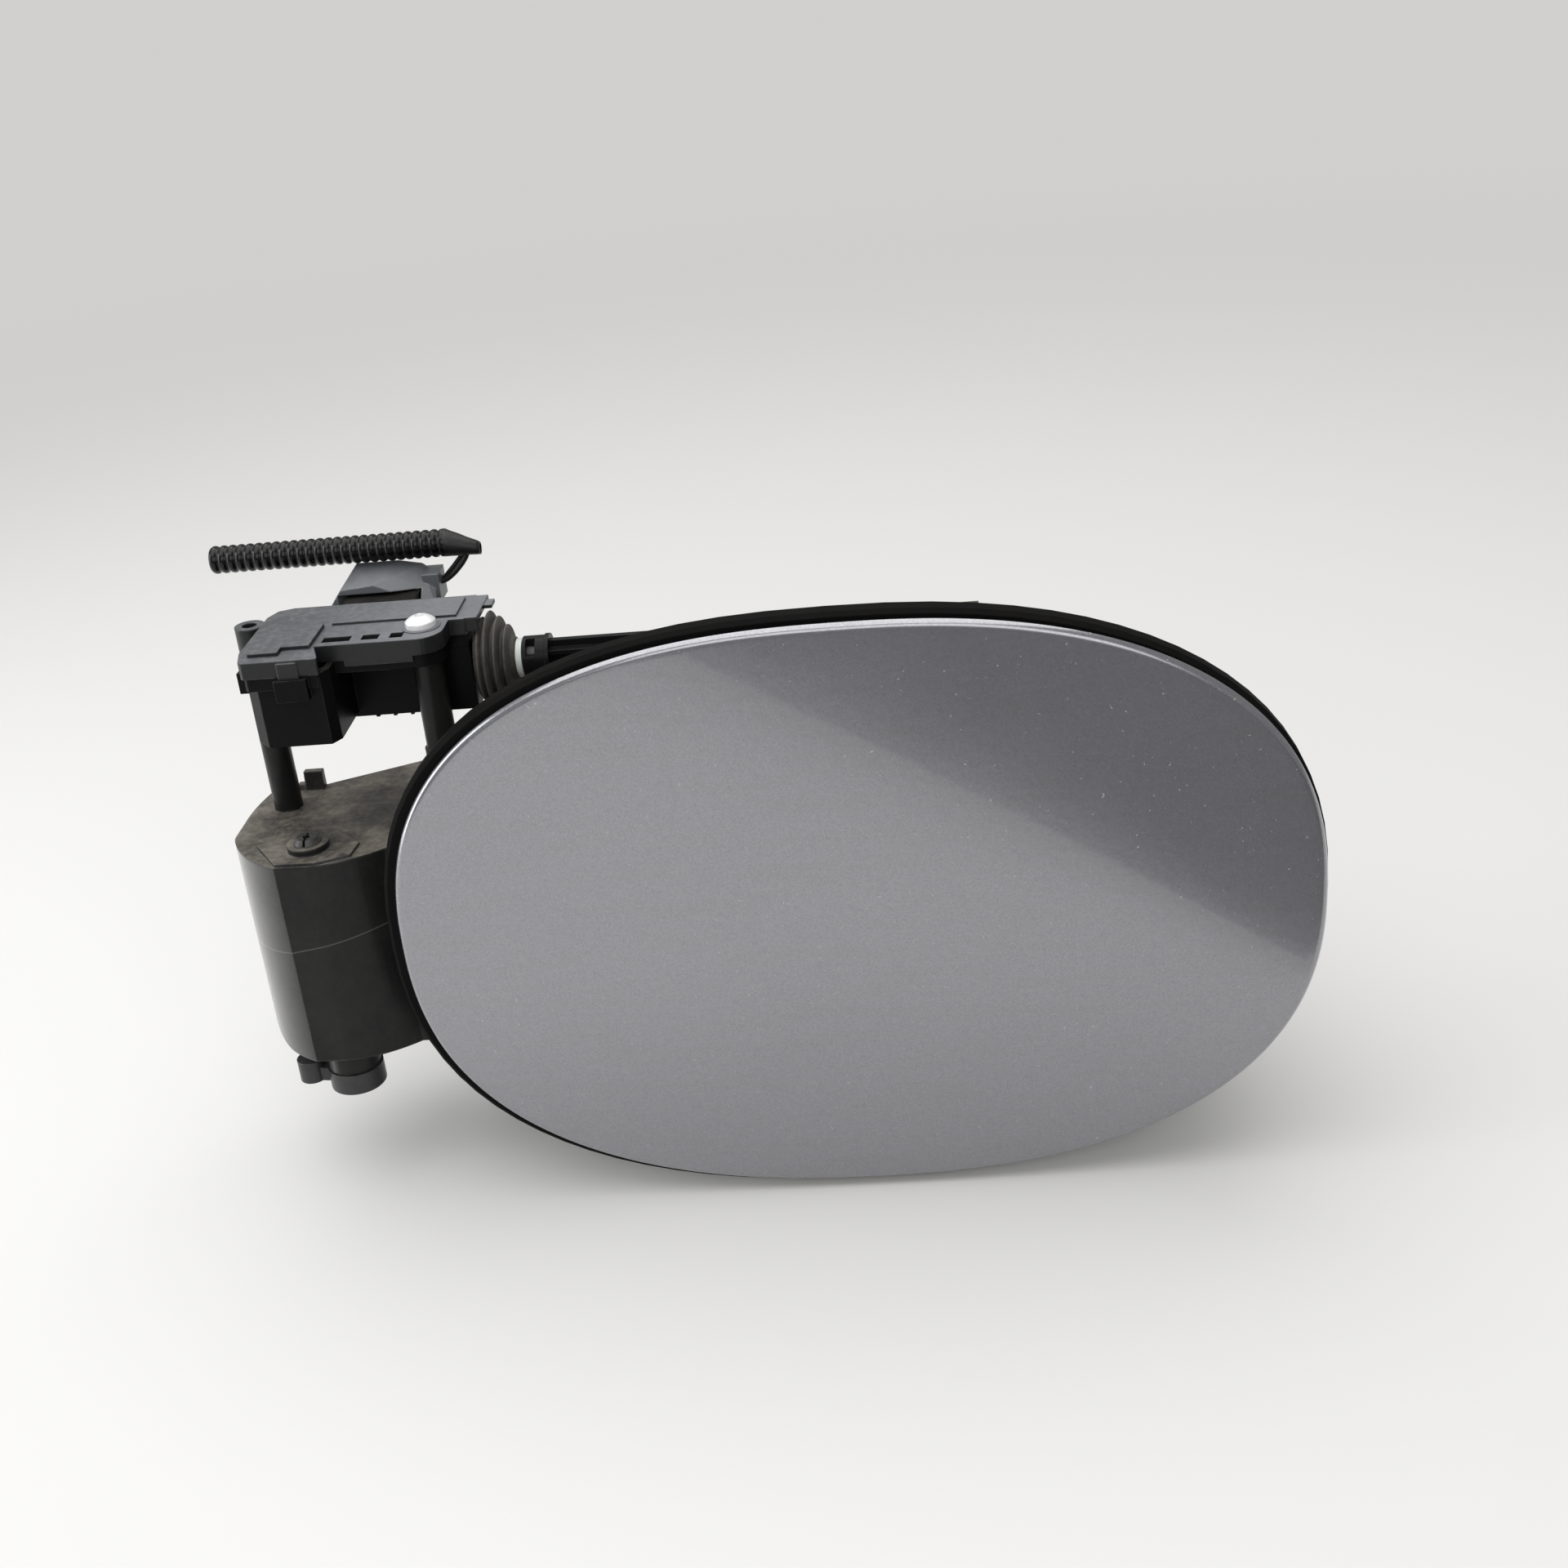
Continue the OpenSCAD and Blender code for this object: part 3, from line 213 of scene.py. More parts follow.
def dust_group():
    """Where dust lies: mostly on faces that look up, in clouds with specks and smears."""
    tree, given, out = group(
        "settled_dust", [("Amount", "Float", 0.5), ("Upward", "Float", 0.7), ("Even", "Float", 0.0)],
        [("Mask", "Float")])
    place = put(tree, "TexCoord").outputs["Object"]
    facing = put(tree, "SeparateXYZ", [(0, put(tree, "NewGeometry").outputs["Normal"])]).outputs["Z"]
    rise = put(tree, "MapRange", [("Value", facing), ("From Min", -0.1), ("From Max", 0.95)],
               interpolation_type="SMOOTHSTEP").outputs["Result"]
    lift = put(tree, "Mix", [("Factor", given.outputs["Upward"]), ("A", 1.0), ("B", rise)]).outputs["Result"]
    cloud = put(tree, "TexNoise", [("Vector", place), ("Scale", 70.0), ("Detail", 8.0), ("Roughness", 0.68)])
    speck = put(tree, "TexNoise", [("Vector", place), ("Scale", 620.0), ("Detail", 3.0), ("Roughness", 0.6)])
    spread = put(tree, "MapRange", [("Value", cloud.outputs["Fac"]), ("From Min", 0.36), ("From Max", 0.68)],
                 interpolation_type="SMOOTHSTEP").outputs["Result"]
    levelled = put(tree, "Mix", [("Factor", given.outputs["Even"]), ("A", spread), ("B", 0.62)]).outputs["Result"]
    fine = put(tree, "MapRange", [("Value", speck.outputs["Fac"]), ("From Min", 0.4),
                                  ("From Max", 0.66)]).outputs["Result"]
    both = put(tree, "Math", [(0, levelled), (1, 0.72), (2, 0.12)], operation="MULTIPLY_ADD").outputs[0]
    rough = put(tree, "Math", [(0, fine), (1, 0.3), (2, both)], operation="MULTIPLY_ADD").outputs[0]
    laid = put(tree, "Math", [(0, rough), (1, lift)], operation="MULTIPLY").outputs[0]
    mask = put(tree, "Math", [(0, laid), (1, given.outputs["Amount"])], operation="MULTIPLY", use_clamp=True)
    tree.links.new(mask.outputs[0], out.inputs["Mask"])
    return tree


def edge_group():
    """A normal that rounds each edge a little, and a mask of the rubbed places along the edges."""
    tree, given, out = group("rubbed_edge", [("Radius", "Float", 0.0004)], [("Normal", "Vector"), ("Mask", "Float")])
    soft = put(tree, "Bevel", [("Radius", given.outputs["Radius"])], samples=6).outputs[0]
    plain = put(tree, "NewGeometry").outputs["Normal"]
    same = put(tree, "VectorMath", [(0, soft), (1, plain)], operation="DOT_PRODUCT").outputs["Value"]
    turned = put(tree, "MapRange", [("Value", same), ("From Min", 0.995), ("From Max", 0.85)]).outputs["Result"]
    place = put(tree, "TexCoord").outputs["Object"]
    patch = put(tree, "TexNoise", [("Vector", place), ("Scale", 160.0), ("Detail", 5.0), ("Roughness", 0.7)])
    worn = put(tree, "MapRange", [("Value", patch.outputs["Fac"]), ("From Min", 0.42),
                                  ("From Max", 0.6)]).outputs["Result"]
    mask = put(tree, "Math", [(0, turned), (1, worn)], operation="MULTIPLY", use_clamp=True).outputs[0]
    tree.links.new(soft, out.inputs["Normal"])
    tree.links.new(mask, out.inputs["Mask"])
    return tree


def over(tree, mask, under, colour):
    """The colour that a mask lays over another colour."""
    return put(tree, "Mix", [("Factor", mask), ("A", under), ("B", colour)], data_type="RGBA").outputs["Result"]


DUST = dust_group()
EDGE = edge_group()


def surface(name, colour, rough, shade=0.8, dust=0.0, dirt=(0.2, 0.185, 0.165), upward=0.75, worn=0.25,
            scuff=(0.16, 0.16, 0.165), radius=0.4, grain=0.1, grain_scale=1500.0, metallic=0.0, specular=0.5,
            even=0.0):
    """A moulded or metal surface with blotchy colour, dust on its upper faces and rubbed edges."""
    made = bpy.data.materials.new(name)
    made.use_nodes = True
    tree = made.node_tree
    shader = tree.nodes["Principled BSDF"]
    place = put(tree, "TexCoord").outputs["Object"]
    edge = put(tree, "Group", [("Radius", radius * MM)], node_tree=EDGE)
    laid = put(tree, "Group", [("Amount", dust), ("Upward", upward), ("Even", even)], node_tree=DUST)
    tone = put(tree, "TexNoise", [("Vector", place), ("Scale", 45.0), ("Detail", 6.0), ("Roughness", 0.6)])
    dark = [c * shade for c in colour]
    body = over(tree, tone.outputs["Fac"], (*dark, 1), (*colour, 1))
    rubbed = put(tree, "Math", [(0, edge.outputs["Mask"]), (1, worn)], operation="MULTIPLY").outputs[0]
    edged = over(tree, rubbed, body, (*scuff, 1))
    tree.links.new(over(tree, laid.outputs["Mask"], edged, (*dirt, 1)), shader.inputs["Base Color"])
    gloss = put(tree, "MapRange", [("Value", laid.outputs["Mask"]), ("From Max", 0.7), ("To Min", rough),
                                   ("To Max", min(1.0, rough + 0.35))]).outputs["Result"]
    tree.links.new(gloss, shader.inputs["Roughness"])
    fine = put(tree, "TexNoise", [("Vector", place), ("Scale", grain_scale), ("Detail", 3.0)])
    bump = put(tree, "Bump", [("Strength", grain), ("Distance", 0.0002), ("Height", fine.outputs["Fac"]),
                              ("Normal", edge.outputs["Normal"])])
    tree.links.new(bump.outputs["Normal"], shader.inputs["Normal"])
    shader.inputs["Metallic"].default_value = metallic
    shader.inputs["Specular IOR Level"].default_value = specular
    return made


def paint_node(name, material):
    """Gives a CAD node its finish in place of the plain one it was packed with."""
    slots = node[name].data.materials
    for i in range(len(slots)):
        slots[i] = material
    if not slots:
        slots.append(material)


sheath = surface("wire_pvc", (0.01, 0.01, 0.011), 0.35, dust=0.1, grain=0.03, specular=0.35)
wires = []
for label, row, apart in WIRE_ROWS:
    line = bpy.data.curves.new(label + "_sheath", "CURVE")
    line.dimensions = "3D"
    line.bevel_depth = WIRE_R * MM
    line.bevel_resolution = 4
    line.use_fill_caps = True
    spline = line.splines.new("BEZIER")
    spline.bezier_points.add(len(ROUTE) - 1)
    for i, (point, (x, z)) in enumerate(zip(spline.bezier_points, ROUTE)):
        aside = apart * (LOOP[i] if i < len(LOOP) else 0)
        point.co = Vector((PLUG_X + x + 0.7 * aside, row - DEPTH, PORT_Z + z - aside)) * MM
        point.handle_left_type = point.handle_right_type = "AUTO"
    line.resolution_u = 8
    line.materials.append(sheath)
    wire = bpy.data.objects.new(label + "_sheath", line)
    bpy.context.collection.objects.link(wire)
    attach(wire, "housing")
    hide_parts(label)
    wires.append(wire)

# Conduit: glossy black corrugated polyethylene tube, slipped over the wires and cut off square.
# Its right end is wrapped in tape that tapers down to the wires.
RIB = 2.1
RIBS = 27
RIB_POINTS = 8
RIB_RISE = 0.42
CREST_START, CREST_SHARE, CREST_POWER = 0.06, 0.82, 0.55
TUBE_R = 3.3
TUBE_WALL = 0.35
TUBE_X = -147.3
TAPE_FALL = math.radians(14)


def object_from(bm, name, material):
    """Turns a finished bmesh into an object at the origin, with its faces outwards."""
    bmesh.ops.remove_doubles(bm, verts=bm.verts, dist=1e-7)
    bmesh.ops.recalc_face_normals(bm, faces=bm.faces)
    data = bpy.data.meshes.new(name)
    bm.to_mesh(data)
    bm.free()
    for face in data.polygons:
        face.use_smooth = True
    data.materials.append(material)
    obj = bpy.data.objects.new(name, data)
    bpy.context.collection.objects.link(obj)
    return obj


def turned(profile, centre, steps):
    """A ring turned round a line across the part, from a profile of (distance along it, radius) in millimetres."""
    bm = bmesh.new()
    verts = [bm.verts.new((centre + Vector((s, 0, r))) * MM) for s, r in profile]
    edges = [bm.edges.new(pair) for pair in zip(verts, verts[1:])]
    edges.append(bm.edges.new((verts[-1], verts[0])))
    bmesh.ops.spin(bm, geom=verts + edges, cent=centre * MM, axis=(1, 0, 0), angle=2 * math.pi, steps=steps,
                   use_merge=True)
    return bm


tube_line = Vector((TUBE_X, 0, PORT_Z))
outside = []
for i in range(RIBS):
    for k in range(RIB_POINTS):
        share = k / RIB_POINTS
        past = min(1.0, max(0.0, (share - CREST_START) / CREST_SHARE))
        swell = max(0.0, math.sin(math.pi * past)) ** CREST_POWER
        outside.append(((i + share) * RIB, TUBE_R - RIB_RISE + RIB_RISE * swell))
outside.append((RIBS * RIB, TUBE_R - RIB_RISE))
inside = [(s, r - TUBE_WALL) for s, r in outside[::-4]]
tube_bm = turned(outside + inside, tube_line, 48)
conduit_gloss = surface("conduit_polyethylene", (0.003, 0.003, 0.0034), 0.12, dust=0.03, worn=0.0, grain=0.03,
                        specular=0.26)
tube = object_from(tube_bm, "conduit_tube", conduit_gloss)
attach(tube, "housing")
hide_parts("conduit")

tape_start = RIBS * RIB - 1.8
tape_profile = [(tape_start, TUBE_R - 0.1), (tape_start + 1.2, TUBE_R - 0.05), (tape_start + 2.2, TUBE_R - 0.3),
                (tape_start + 4.2, 2.6), (tape_start + 6.2, 2.15), (tape_start + 8.2, 1.75), (tape_start + 9.0, 1.5),
                (tape_start + 9.0, 1.2), (tape_start + 4.0, 1.7), (tape_start + 1.0, TUBE_R - 0.5)]
tape_bm = turned(tape_profile, tube_line, 40)
tape_bend = (TUBE_X + tape_start + 1.2) * MM
for v in tape_bm.verts:
    v.co.z -= max(0.0, v.co.x - tape_bend) * math.tan(TAPE_FALL)
    v.co.z += noise.noise(v.co * 900) * 0.12 * MM
tape_black = surface("cloth_tape", (0.008, 0.008, 0.009), 0.4, dust=0.08, worn=0.05, grain=0.35,
                     grain_scale=2600.0, specular=0.35)
tape = object_from(tape_bm, "conduit_tape", tape_black)
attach(tape, "housing")

# Copper cores: each wire is cut off a little way inside the conduit's end.
# A short bright stub of the copper strand stands out of its sheath.
copper = surface("copper_strand", (0.72, 0.42, 0.3), 0.3, metallic=0.9, worn=0.1, scuff=(0.85, 0.6, 0.45), grain=0.2)
stubs = []
for label, row, _ in WIRE_ROWS:
    stub_line = Vector((PLUG_X + ROUTE[-1][0] - 0.6, row - DEPTH, PORT_Z))
    stub_bm = turned([(0.0, 0.02), (0.0, 0.3), (0.08, 0.37), (0.75, 0.37), (0.75, 0.02)], stub_line, 16)
    stub = object_from(stub_bm, label + "_core", copper)
    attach(stub, "housing")
    stubs.append(stub)

for wire, stub in zip(wires, stubs):
    stops = [point.co for point in wire.data.splines[0].bezier_points]
    start = stops[0]

# Pocket housing: one black moulding with the oval bowl, the hinge box and the two posts.
# Years of road dust lie on its upper faces, and its corners are rubbed pale. The mould's parting line runs
# round the hinge box. The box's left side is rubbed shiny, with a glossy coat, and is painted paler in clouds, a
# painted reflection.
BOX_RIGHT = -0.1
BOX_TOP = 0.016
EDGE_SOFT = 0.0005
SEAM_SLOPE, SEAM_AT = -0.172, 0.01664
housing_black = surface("housing_moulding", (0.009, 0.0094, 0.0098), 0.3, dust=1.0, dirt=(0.18, 0.165, 0.14),
                        upward=0.98, worn=0.45, scuff=(0.15, 0.15, 0.15), radius=0.8, grain=0.1, specular=0.18)
tree = housing_black.node_tree
shader = tree.nodes["Principled BSDF"]
paint = shader.inputs["Base Color"]
spot = put(tree, "TexCoord").outputs["Object"]
spot_xyz = put(tree, "SeparateXYZ", [(0, spot)]).outputs
facing = put(tree, "SeparateXYZ", [(0, put(tree, "NewGeometry").outputs["Normal"])]).outputs
on_box = put(tree, "MapRange", [("Value", spot_xyz["X"]), ("From Min", BOX_RIGHT - EDGE_SOFT),
                                ("From Max", BOX_RIGHT + EDGE_SOFT), ("To Min", 1.0),
                                ("To Max", 0.0)]).outputs["Result"]
seam_height = put(tree, "VectorMath", [(0, spot), (1, (SEAM_SLOPE, 0, 1))], operation="DOT_PRODUCT").outputs["Value"]
off_seam = put(tree, "Math", [(0, seam_height), (1, SEAM_AT)], operation="SUBTRACT").outputs[0]
off_seam = put(tree, "Math", [(0, off_seam)], operation="ABSOLUTE").outputs[0]
seam = put(tree, "MapRange", [("Value", off_seam), ("From Min", 0.0001), ("From Max", 0.00025), ("To Min", 0.8),
                              ("To Max", 0.0)]).outputs["Result"]
seam_mask = put(tree, "Math", [(0, seam), (1, on_box)], operation="MULTIPLY").outputs[0]
parted = over(tree, seam_mask, paint.links[0].from_socket, (0.07, 0.07, 0.068, 1))
# Painted reflection: the box's left faces below its top are painted paler in clouds, and they also get a glossy coat.
left = put(tree, "MapRange", [("Value", facing["X"]), ("From Min", -0.35), ("From Max", -0.95), ("To Min", 0.0),
                              ("To Max", 1.0)]).outputs["Result"]
low = put(tree, "MapRange", [("Value", spot_xyz["Z"]), ("From Min", BOX_TOP - EDGE_SOFT),
                             ("From Max", BOX_TOP + EDGE_SOFT), ("To Min", 1.0), ("To Max", 0.0)]).outputs["Result"]
left_side_gloss_and_reflection = put(tree, "Math", [(0, left), (1, low)], operation="MULTIPLY").outputs[0]
left_side_gloss_and_reflection = put(tree, "Math", [(0, left_side_gloss_and_reflection), (1, on_box)], operation="MULTIPLY").outputs[0]
side_reflection_noise = put(tree, "TexNoise", [("Vector", spot), ("Scale", 60.0), ("Detail", 6.0), ("Roughness", 0.7)])
painted_side_reflection = put(tree, "MapRange", [("Value", side_reflection_noise.outputs["Fac"]), ("From Min", 0.3), ("From Max", 0.7),
                               ("To Min", 0.12), ("To Max", 0.3)]).outputs["Result"]
painted_side_reflection = put(tree, "Math", [(0, left_side_gloss_and_reflection), (1, painted_side_reflection)], operation="MULTIPLY").outputs[0]
tree.links.new(over(tree, painted_side_reflection, parted, (0.3, 0.295, 0.285, 1)), paint)
tree.links.new(left_side_gloss_and_reflection, shader.inputs["Coat Weight"])
shader.inputs["Coat Roughness"].default_value = 0.2
shader.inputs["Coat IOR"].default_value = 1.7
paint_node("pocket_housing", housing_black)

# Rim seal and neck seal: soft black rubber rings pushed on the rim and into the back wall.
# The rim's seal is grey-brown with dust along its top.
seal_black = surface("seal_rubber", (0.004, 0.004, 0.004), 0.62, dust=0.09, dirt=(0.036, 0.029, 0.023),
                     upward=0.97, worn=0.12, scuff=(0.03, 0.028, 0.025), radius=0.35, grain=0.3, grain_scale=900.0,
                     specular=0.05)
paint_node("rim_seal", seal_black)
paint_node("neck_seal", seal_black)
paint_node("bumpers", seal_black)

# Flap skin: a shallow dome of pressed sheet, its edge folded back over the inner panel.
# It is painted a metallic blue-grey under clear lacquer, with flakes, faint brown stains, fine dust and grit.
# FLAP_A and FLAP_B are the half axes, and FULL is how full the oval is, where 2 is an ellipse. The sheet has
# a ring of points at each of the shares of the half axes.
FLAP_A, FLAP_B, FULL = 100.0, 68.0, 2.4
CROWN = 3.0
ROLL = 1.5
HEM = 1.4
HEM_W = 4.5
SHEET = 0.9
STEPS = 240
LONG_RADIUS = FLAP_A ** 2 / (2 * CROWN)
SHORT_RADIUS = FLAP_B ** 2 / (2 * CROWN)
FRONT_SHARES = (0.004, 0.06, 0.14, 0.24, 0.35, 0.46, 0.57, 0.67, 0.76, 0.84, 0.9, 0.94, 0.965)
BACK_SHARES = (0.98, 0.9, 0.76, 0.6, 0.42, 0.24, 0.1, 0.004)
PAINT_DARK = (0.258, 0.259, 0.279, 1)
PAINT_PALE = (0.284, 0.285, 0.305, 1)
STAIN_BROWN = (0.19, 0.165, 0.14, 1)
GRIT_GREY = (0.42, 0.41, 0.4, 1)


def oval(turn, a, b):
    """The point of the flap's oval at that turn, for half axes a and b, in millimetres."""
    c, s = math.cos(turn), math.sin(turn)
    return (math.copysign(abs(c) ** (2 / FULL), c) * a, math.copysign(abs(s) ** (2 / FULL), s) * b)


def dome(x, z):
    """How far the dome stands out from the plane of its edge at x, z, in millimetres."""
    ring = LONG_RADIUS - SHORT_RADIUS + math.sqrt(SHORT_RADIUS ** 2 - z ** 2)
    return LONG_RADIUS - CROWN - math.sqrt(ring ** 2 - x ** 2)


def oval_sheet(rings):
    """A closed sheet from rings of (a, b, depth behind the dome or None, flat y), outermost side first."""
    bm = bmesh.new()
    first = bmesh.ops.create_circle(bm, cap_ends=False, segments=STEPS, radius=1)["verts"]
    turns = [math.atan2(v.co.y, v.co.x) for v in first]
    loop = first
    for number, (a, b, sunk, flat) in enumerate(rings):
        if number:
            index = {v: i for i, v in enumerate(loop)}
            edges = [e for e in bm.edges if e.verts[0] in index and e.verts[1] in index]
            grown = bmesh.ops.extrude_edge_only(bm, edges=edges)["geom"]
            fresh = [g for g in grown if isinstance(g, bmesh.types.BMVert)]
            order = [None] * len(loop)
            for v in fresh:
                near = next(e.other_vert(v) for e in v.link_edges if e.other_vert(v) in index)
                order[index[near]] = v
            loop = order
        for v, turn in zip(loop, turns):
            x, z = oval(turn, a, b)
            y = flat if sunk is None else dome(x, z) + sunk
            v.co = Vector((x, y - DEPTH, z)) * MM
    return bm


front_rings = [(k * FLAP_A, k * FLAP_B, 0.0, None) for k in FRONT_SHARES]
rolled = []
for t in range(0, 73, 9):
    inset = ROLL * (1 - math.sin(math.radians(t)))
    rolled.append((FLAP_A - inset, FLAP_B - inset, ROLL * (1 - math.cos(math.radians(t))), None))
hem = [(FLAP_A, FLAP_B, HEM - 0.25, None), (FLAP_A - 0.12, FLAP_B - 0.12, None, HEM - 0.03),
       (FLAP_A - 0.4, FLAP_B - 0.4, None, HEM), (FLAP_A - 4.3, FLAP_B - 4.3, None, HEM),
       (FLAP_A - HEM_W, FLAP_B - HEM_W, None, HEM - 0.2), (FLAP_A - HEM_W, FLAP_B - HEM_W, SHEET + 0.1, None)]
back_rings = [(k * (FLAP_A - HEM_W), k * (FLAP_B - HEM_W), SHEET, None) for k in BACK_SHARES]
skin_bm = oval_sheet(front_rings + rolled + hem + back_rings)
bmesh.ops.holes_fill(skin_bm, edges=[e for e in skin_bm.edges if e.is_boundary], sides=0)

clear = bpy.data.materials.new("flap_lacquer")
clear.use_nodes = True
tree = clear.node_tree
shader = tree.nodes["Principled BSDF"]
place = put(tree, "TexCoord").outputs["Object"]
flake = put(tree, "TexVoronoi", [("Vector", place), ("Scale", 5200.0)])
flake = put(tree, "SeparateColor", [(0, flake.outputs["Color"])]).outputs[0]
sparkle = put(tree, "MapRange", [("Value", flake), ("From Min", 0.0), ("From Max", 1.0), ("To Min", 0.86),
                                 ("To Max", 1.14)]).outputs["Result"]
film = put(tree, "TexNoise", [("Vector", place), ("Scale", 14.0), ("Detail", 5.0), ("Roughness", 0.6)]).outputs["Fac"]
streaks = put(tree, "Mapping", [("Vector", place), ("Rotation", (0, math.radians(-20), 0)),
                                ("Scale", (1.0, 1.0, 9.0))])
brown = put(tree, "TexNoise", [("Vector", streaks.outputs[0]), ("Scale", 30.0), ("Detail", 6.0),
                               ("Roughness", 0.65)])
stain = put(tree, "MapRange", [("Value", brown.outputs["Fac"]), ("From Min", 0.5), ("From Max", 0.8),
                               ("To Max", 0.16)]).outputs["Result"]
speck = put(tree, "TexNoise", [("Vector", place), ("Scale", 950.0), ("Detail", 2.0)])
mote = put(tree, "MapRange", [("Value", speck.outputs["Fac"]), ("From Min", 0.71), ("From Max", 0.77),
                              ("To Max", 0.4)]).outputs["Result"]
flat = put(tree, "SeparateXYZ", [(0, place)]).outputs
flat = put(tree, "CombineXYZ", [("X", flat["X"]), ("Y", flat["Z"])]).outputs[0]
dots = put(tree, "TexVoronoi", [("Vector", flat), ("Scale", 120.0)], voronoi_dimensions="2D").outputs
grain_size = put(tree, "SeparateColor", [(0, dots["Color"])]).outputs[0]
grain_size = put(tree, "Math", [(0, grain_size), (1, 0.024)], operation="MULTIPLY").outputs[0]
grit = put(tree, "Math", [(0, dots["Distance"]), (1, grain_size)], operation="LESS_THAN").outputs[0]
grit = put(tree, "Math", [(0, grit), (1, 0.35)], operation="MULTIPLY").outputs[0]
mote = put(tree, "Math", [(0, mote), (1, grit)], operation="MAXIMUM").outputs[0]
base = over(tree, film, PAINT_DARK, PAINT_PALE)
glint = put(tree, "Mix", [("Factor", 1.0), ("A", base), ("B", sparkle)], data_type="RGBA", blend_type="MULTIPLY")
tinted = over(tree, stain, glint.outputs["Result"], STAIN_BROWN)
tree.links.new(over(tree, mote, tinted, GRIT_GREY), shader.inputs["Base Color"])
metal = put(tree, "MapRange", [("Value", mote), ("From Max", 0.5), ("To Min", 0.8), ("To Max", 0.0)])
tree.links.new(metal.outputs["Result"], shader.inputs["Metallic"])
haze = put(tree, "MapRange", [("Value", film), ("From Min", 0.3), ("From Max", 0.7), ("To Min", 0.2),
                              ("To Max", 0.25)])
tree.links.new(haze.outputs["Result"], shader.inputs["Roughness"])
peel = put(tree, "TexNoise", [("Vector", place), ("Scale", 330.0), ("Detail", 2.0)])
peel = put(tree, "Bump", [("Strength", 0.06), ("Distance", 0.0003), ("Height", peel.outputs["Fac"])])
tree.links.new(peel.outputs["Normal"], shader.inputs["Normal"])
shader.inputs["Coat Weight"].default_value = 1.0
shader.inputs["Coat Roughness"].default_value = 0.05
skin = object_from(skin_bm, "flap_painted_skin", clear)
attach(skin, "flap")
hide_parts("flap_skin")

# Inner panel and swan-neck arm: stiff black mouldings that carry the skin and swing with it.
# Four plated screws hold the arm's foot on the panel.
panel_black = surface("panel_moulding", (0.018, 0.018, 0.02), 0.42, dust=0.2, worn=0.3, grain=0.2, specular=0.35)
paint_node("flap_panel", panel_black)
arm_black = surface("arm_moulding", (0.018, 0.018, 0.02), 0.4, dust=0.3, worn=0.35, grain=0.2, specular=0.35)
paint_node("hinge_arm", arm_black)
zinc = surface("zinc_plate", (0.62, 0.62, 0.63), 0.3, shade=0.85, dust=0.12, worn=0.1, scuff=(0.8, 0.8, 0.8),
               metallic=0.9, radius=0.3, grain=0.08)
paint_node("arm_screws", zinc)

# Hinge pin: smooth black acetal, pushed in from below until its split end snaps over the ring.
# A wire torsion spring sits round it in the box.
pin_black = surface("pin_acetal", (0.02, 0.02, 0.022), 0.34, dust=0.3, worn=0.5, scuff=(0.15, 0.15, 0.15),
                    radius=0.4, grain=0.08, specular=0.4)
paint_node("hinge_pin", pin_black)
spring_grey = surface("spring_wire", (0.34, 0.34, 0.35), 0.32, shade=0.7, metallic=0.95, dust=0.15, grain=0.1)
paint_node("hinge_spring", spring_grey)

# Lock actuator: a two-part casing of satin black plastic, screwed to the posts.
# Dust lies evenly on the lid, and the top of its right end is painted paler, a painted sheen.
SHEEN_START, SHEEN_END = -0.118, -0.092
base_black = surface("actuator_moulding", (0.005, 0.005, 0.0055), 0.38, dust=0.1, upward=0.97, worn=0.35,
                     scuff=(0.1, 0.1, 0.1), grain=0.15, specular=0.07)
paint_node("actuator_base", base_black)
lid_black = surface("actuator_lid", (0.011, 0.0115, 0.0125), 0.32, dust=0.95, dirt=(0.146, 0.15, 0.16),
                    upward=0.98, even=0.85, worn=0.4, scuff=(0.17, 0.17, 0.18), radius=0.5, grain=0.12,
                    specular=0.28)
tree = lid_black.node_tree
paint = tree.nodes["Principled BSDF"].inputs["Base Color"]
# Painted sheen: the lid's upward faces are painted paler towards its right end.
facing = put(tree, "SeparateXYZ", [(0, put(tree, "NewGeometry").outputs["Normal"])]).outputs
topside = put(tree, "MapRange", [("Value", facing["Z"]), ("From Min", 0.9), ("From Max", 0.99)]).outputs["Result"]
along = put(tree, "SeparateXYZ", [(0, put(tree, "TexCoord").outputs["Object"])]).outputs["X"]
sheen_to_right = put(tree, "MapRange", [("Value", along), ("From Min", SHEEN_START), ("From Max", SHEEN_END),
                                ("To Max", 0.42)]).outputs["Result"]
painted_sheen = put(tree, "Math", [(0, topside), (1, sheen_to_right)], operation="MULTIPLY").outputs[0]
tree.links.new(over(tree, painted_sheen, paint.links[0].from_socket, (0.24, 0.25, 0.27, 1)), paint)
paint_node("actuator_cover", lid_black)
bright_zinc = surface("screw_plate", (0.97, 0.97, 0.98), 0.34, shade=0.92, dust=0.04, worn=0.1,
                      scuff=(0.95, 0.95, 0.95), metallic=0.35, radius=0.5, grain=0.06)
paint_node("actuator_screw", bright_zinc)

# Drive inside the casing: motor can, worm, wheel and steel shaft, with two tinned contacts.
# They show only when the casing is taken apart.
can = surface("motor_can", (0.5, 0.5, 0.51), 0.3, metallic=0.9, worn=0.1, grain=0.05)
paint_node("motor", can)
acetal = surface("gear_acetal", (0.72, 0.7, 0.64), 0.4, shade=0.92, worn=0.1, scuff=(0.8, 0.78, 0.72), grain=0.05)
paint_node("worm", acetal)
paint_node("gear_wheel", acetal)
paint_node("gear_shaft", zinc)
tin = surface("contact_tin", (0.62, 0.56, 0.42), 0.3, metallic=0.9, worn=0.1, grain=0.05)
paint_node("terminal_pins", tin)
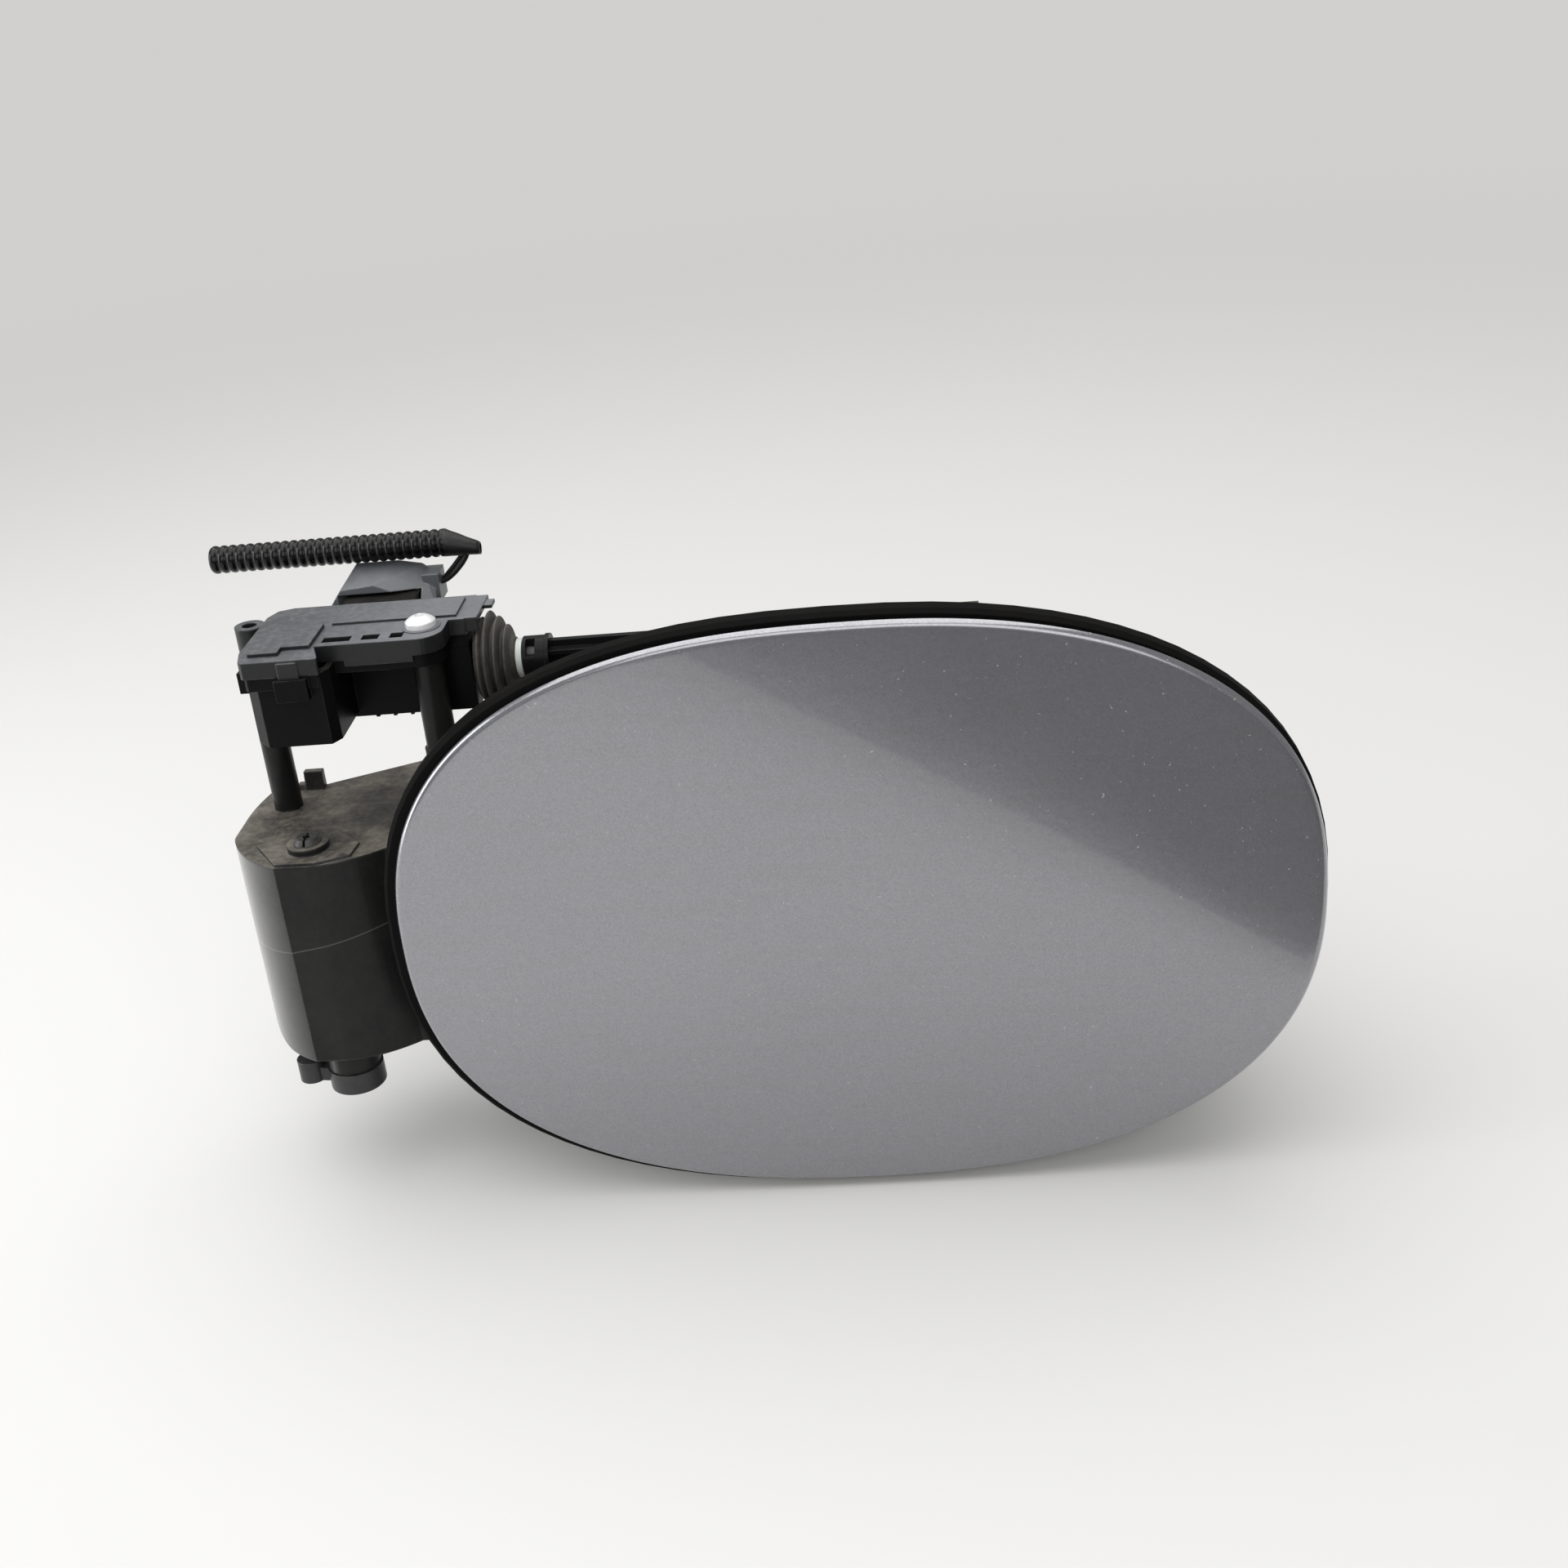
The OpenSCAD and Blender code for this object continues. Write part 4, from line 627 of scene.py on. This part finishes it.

# Plunger and lock rod: the white acetal plunger drives the black rod that is snapped over its end.
# The plunger's end that sits in the rod's collar is painted black, a painted shade for the collar's notch.
COLLAR_SHADE_X = -0.0716
white = surface("plunger_acetal", (0.6, 0.64, 0.62), 0.38, shade=0.9, dust=0.3, dirt=(0.4, 0.4, 0.37), worn=0.05,
                scuff=(0.8, 0.8, 0.8), grain=0.05)
tree = white.node_tree
paint = tree.nodes["Principled BSDF"].inputs["Base Color"]
along = put(tree, "SeparateXYZ", [(0, put(tree, "TexCoord").outputs["Object"])]).outputs["X"]
# Painted shade: the plunger is painted black past the collar's edge, where the notch shows it.
collar_shade = put(tree, "MapRange", [("Value", along), ("From Min", COLLAR_SHADE_X - 0.0001), ("From Max", COLLAR_SHADE_X + 0.0001),
                                 ("To Max", 0.96)]).outputs["Result"]
tree.links.new(over(tree, collar_shade, paint.links[0].from_socket, (0.01, 0.01, 0.01, 1)), paint)
paint_node("plunger", white)
rod_black = surface("rod_moulding", (0.007, 0.0073, 0.0077), 0.3, dust=0.06, dirt=(0.13, 0.125, 0.12), upward=0.97,
                    worn=0.3, scuff=(0.12, 0.12, 0.125), radius=0.25, grain=0.12, specular=0.1)
paint_node("lock_rod", rod_black)

# Bellows: a thin rubber gaiter with four rounded folds, clipped on the casing and on the plunger.
# Dust has settled in it, and its crests are rubbed grey.
ROD_Y, ROD_Z = 42.5, 49.6
GAITER_X, GAITER_END = -81.8, -73.4
MOUTH_IN, MOUTH_OUT = 7.0, 8.6
NECK_IN, NECK_OUT = 4.05, 4.8
LIP = 0.8
crests = [9.8, 11.1, 9.8, 7.8]
valleys = [7.4, 8.0, 7.3, 5.8, 4.7]
fold = (GAITER_END - GAITER_X - LIP) / len(crests)
outer = [(0.0, MOUTH_IN), (0.0, MOUTH_OUT)]
for i, crest in enumerate(crests):
    for k in range(10):
        t = k / 10
        low = valleys[i] + (valleys[i + 1] - valleys[i]) * t
        outer.append(((i + t) * fold + 0.05, low + (crest - low) * math.sin(math.pi * t) ** 0.8))
outer += [(4 * fold + 0.05, NECK_OUT), (4 * fold + LIP, NECK_OUT - 0.05)]
inner = [(4 * fold + LIP, NECK_IN), (4 * fold, NECK_IN)]
for i in reversed(range(len(crests))):
    inner += [((i + 0.75) * fold, max(4.3, valleys[i + 1] - 1.0)), ((i + 0.5) * fold, crests[i] - 1.3),
              ((i + 0.25) * fold, max(4.3, valleys[i] - 1.0))]
inner.append((0.7, MOUTH_IN))
gaiter_bm = turned(outer + inner, Vector((GAITER_X, ROD_Y - DEPTH, ROD_Z)), 72)
gaiter_rubber = surface("gaiter_rubber", (0.035, 0.033, 0.03), 0.62, shade=0.5, dust=0.7, dirt=(0.15, 0.138, 0.12),
                        upward=0.5, worn=0.5, scuff=(0.2, 0.19, 0.17), radius=0.5, grain=0.5, grain_scale=800.0)
gaiter = object_from(gaiter_bm, "bellows_gaiter", gaiter_rubber)
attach(gaiter, "housing")
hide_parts("bellows")

# Plug: a grey moulded hood pushed on the socket behind the actuator.
# Its front edge is dusty and lighter.
plug_grey = surface("plug_moulding", (0.115, 0.122, 0.135), 0.36, dust=0.25, dirt=(0.25, 0.25, 0.25), worn=0.5,
                    scuff=(0.45, 0.47, 0.49), radius=0.5, grain=0.08)
paint_node("connector_plug", plug_grey)
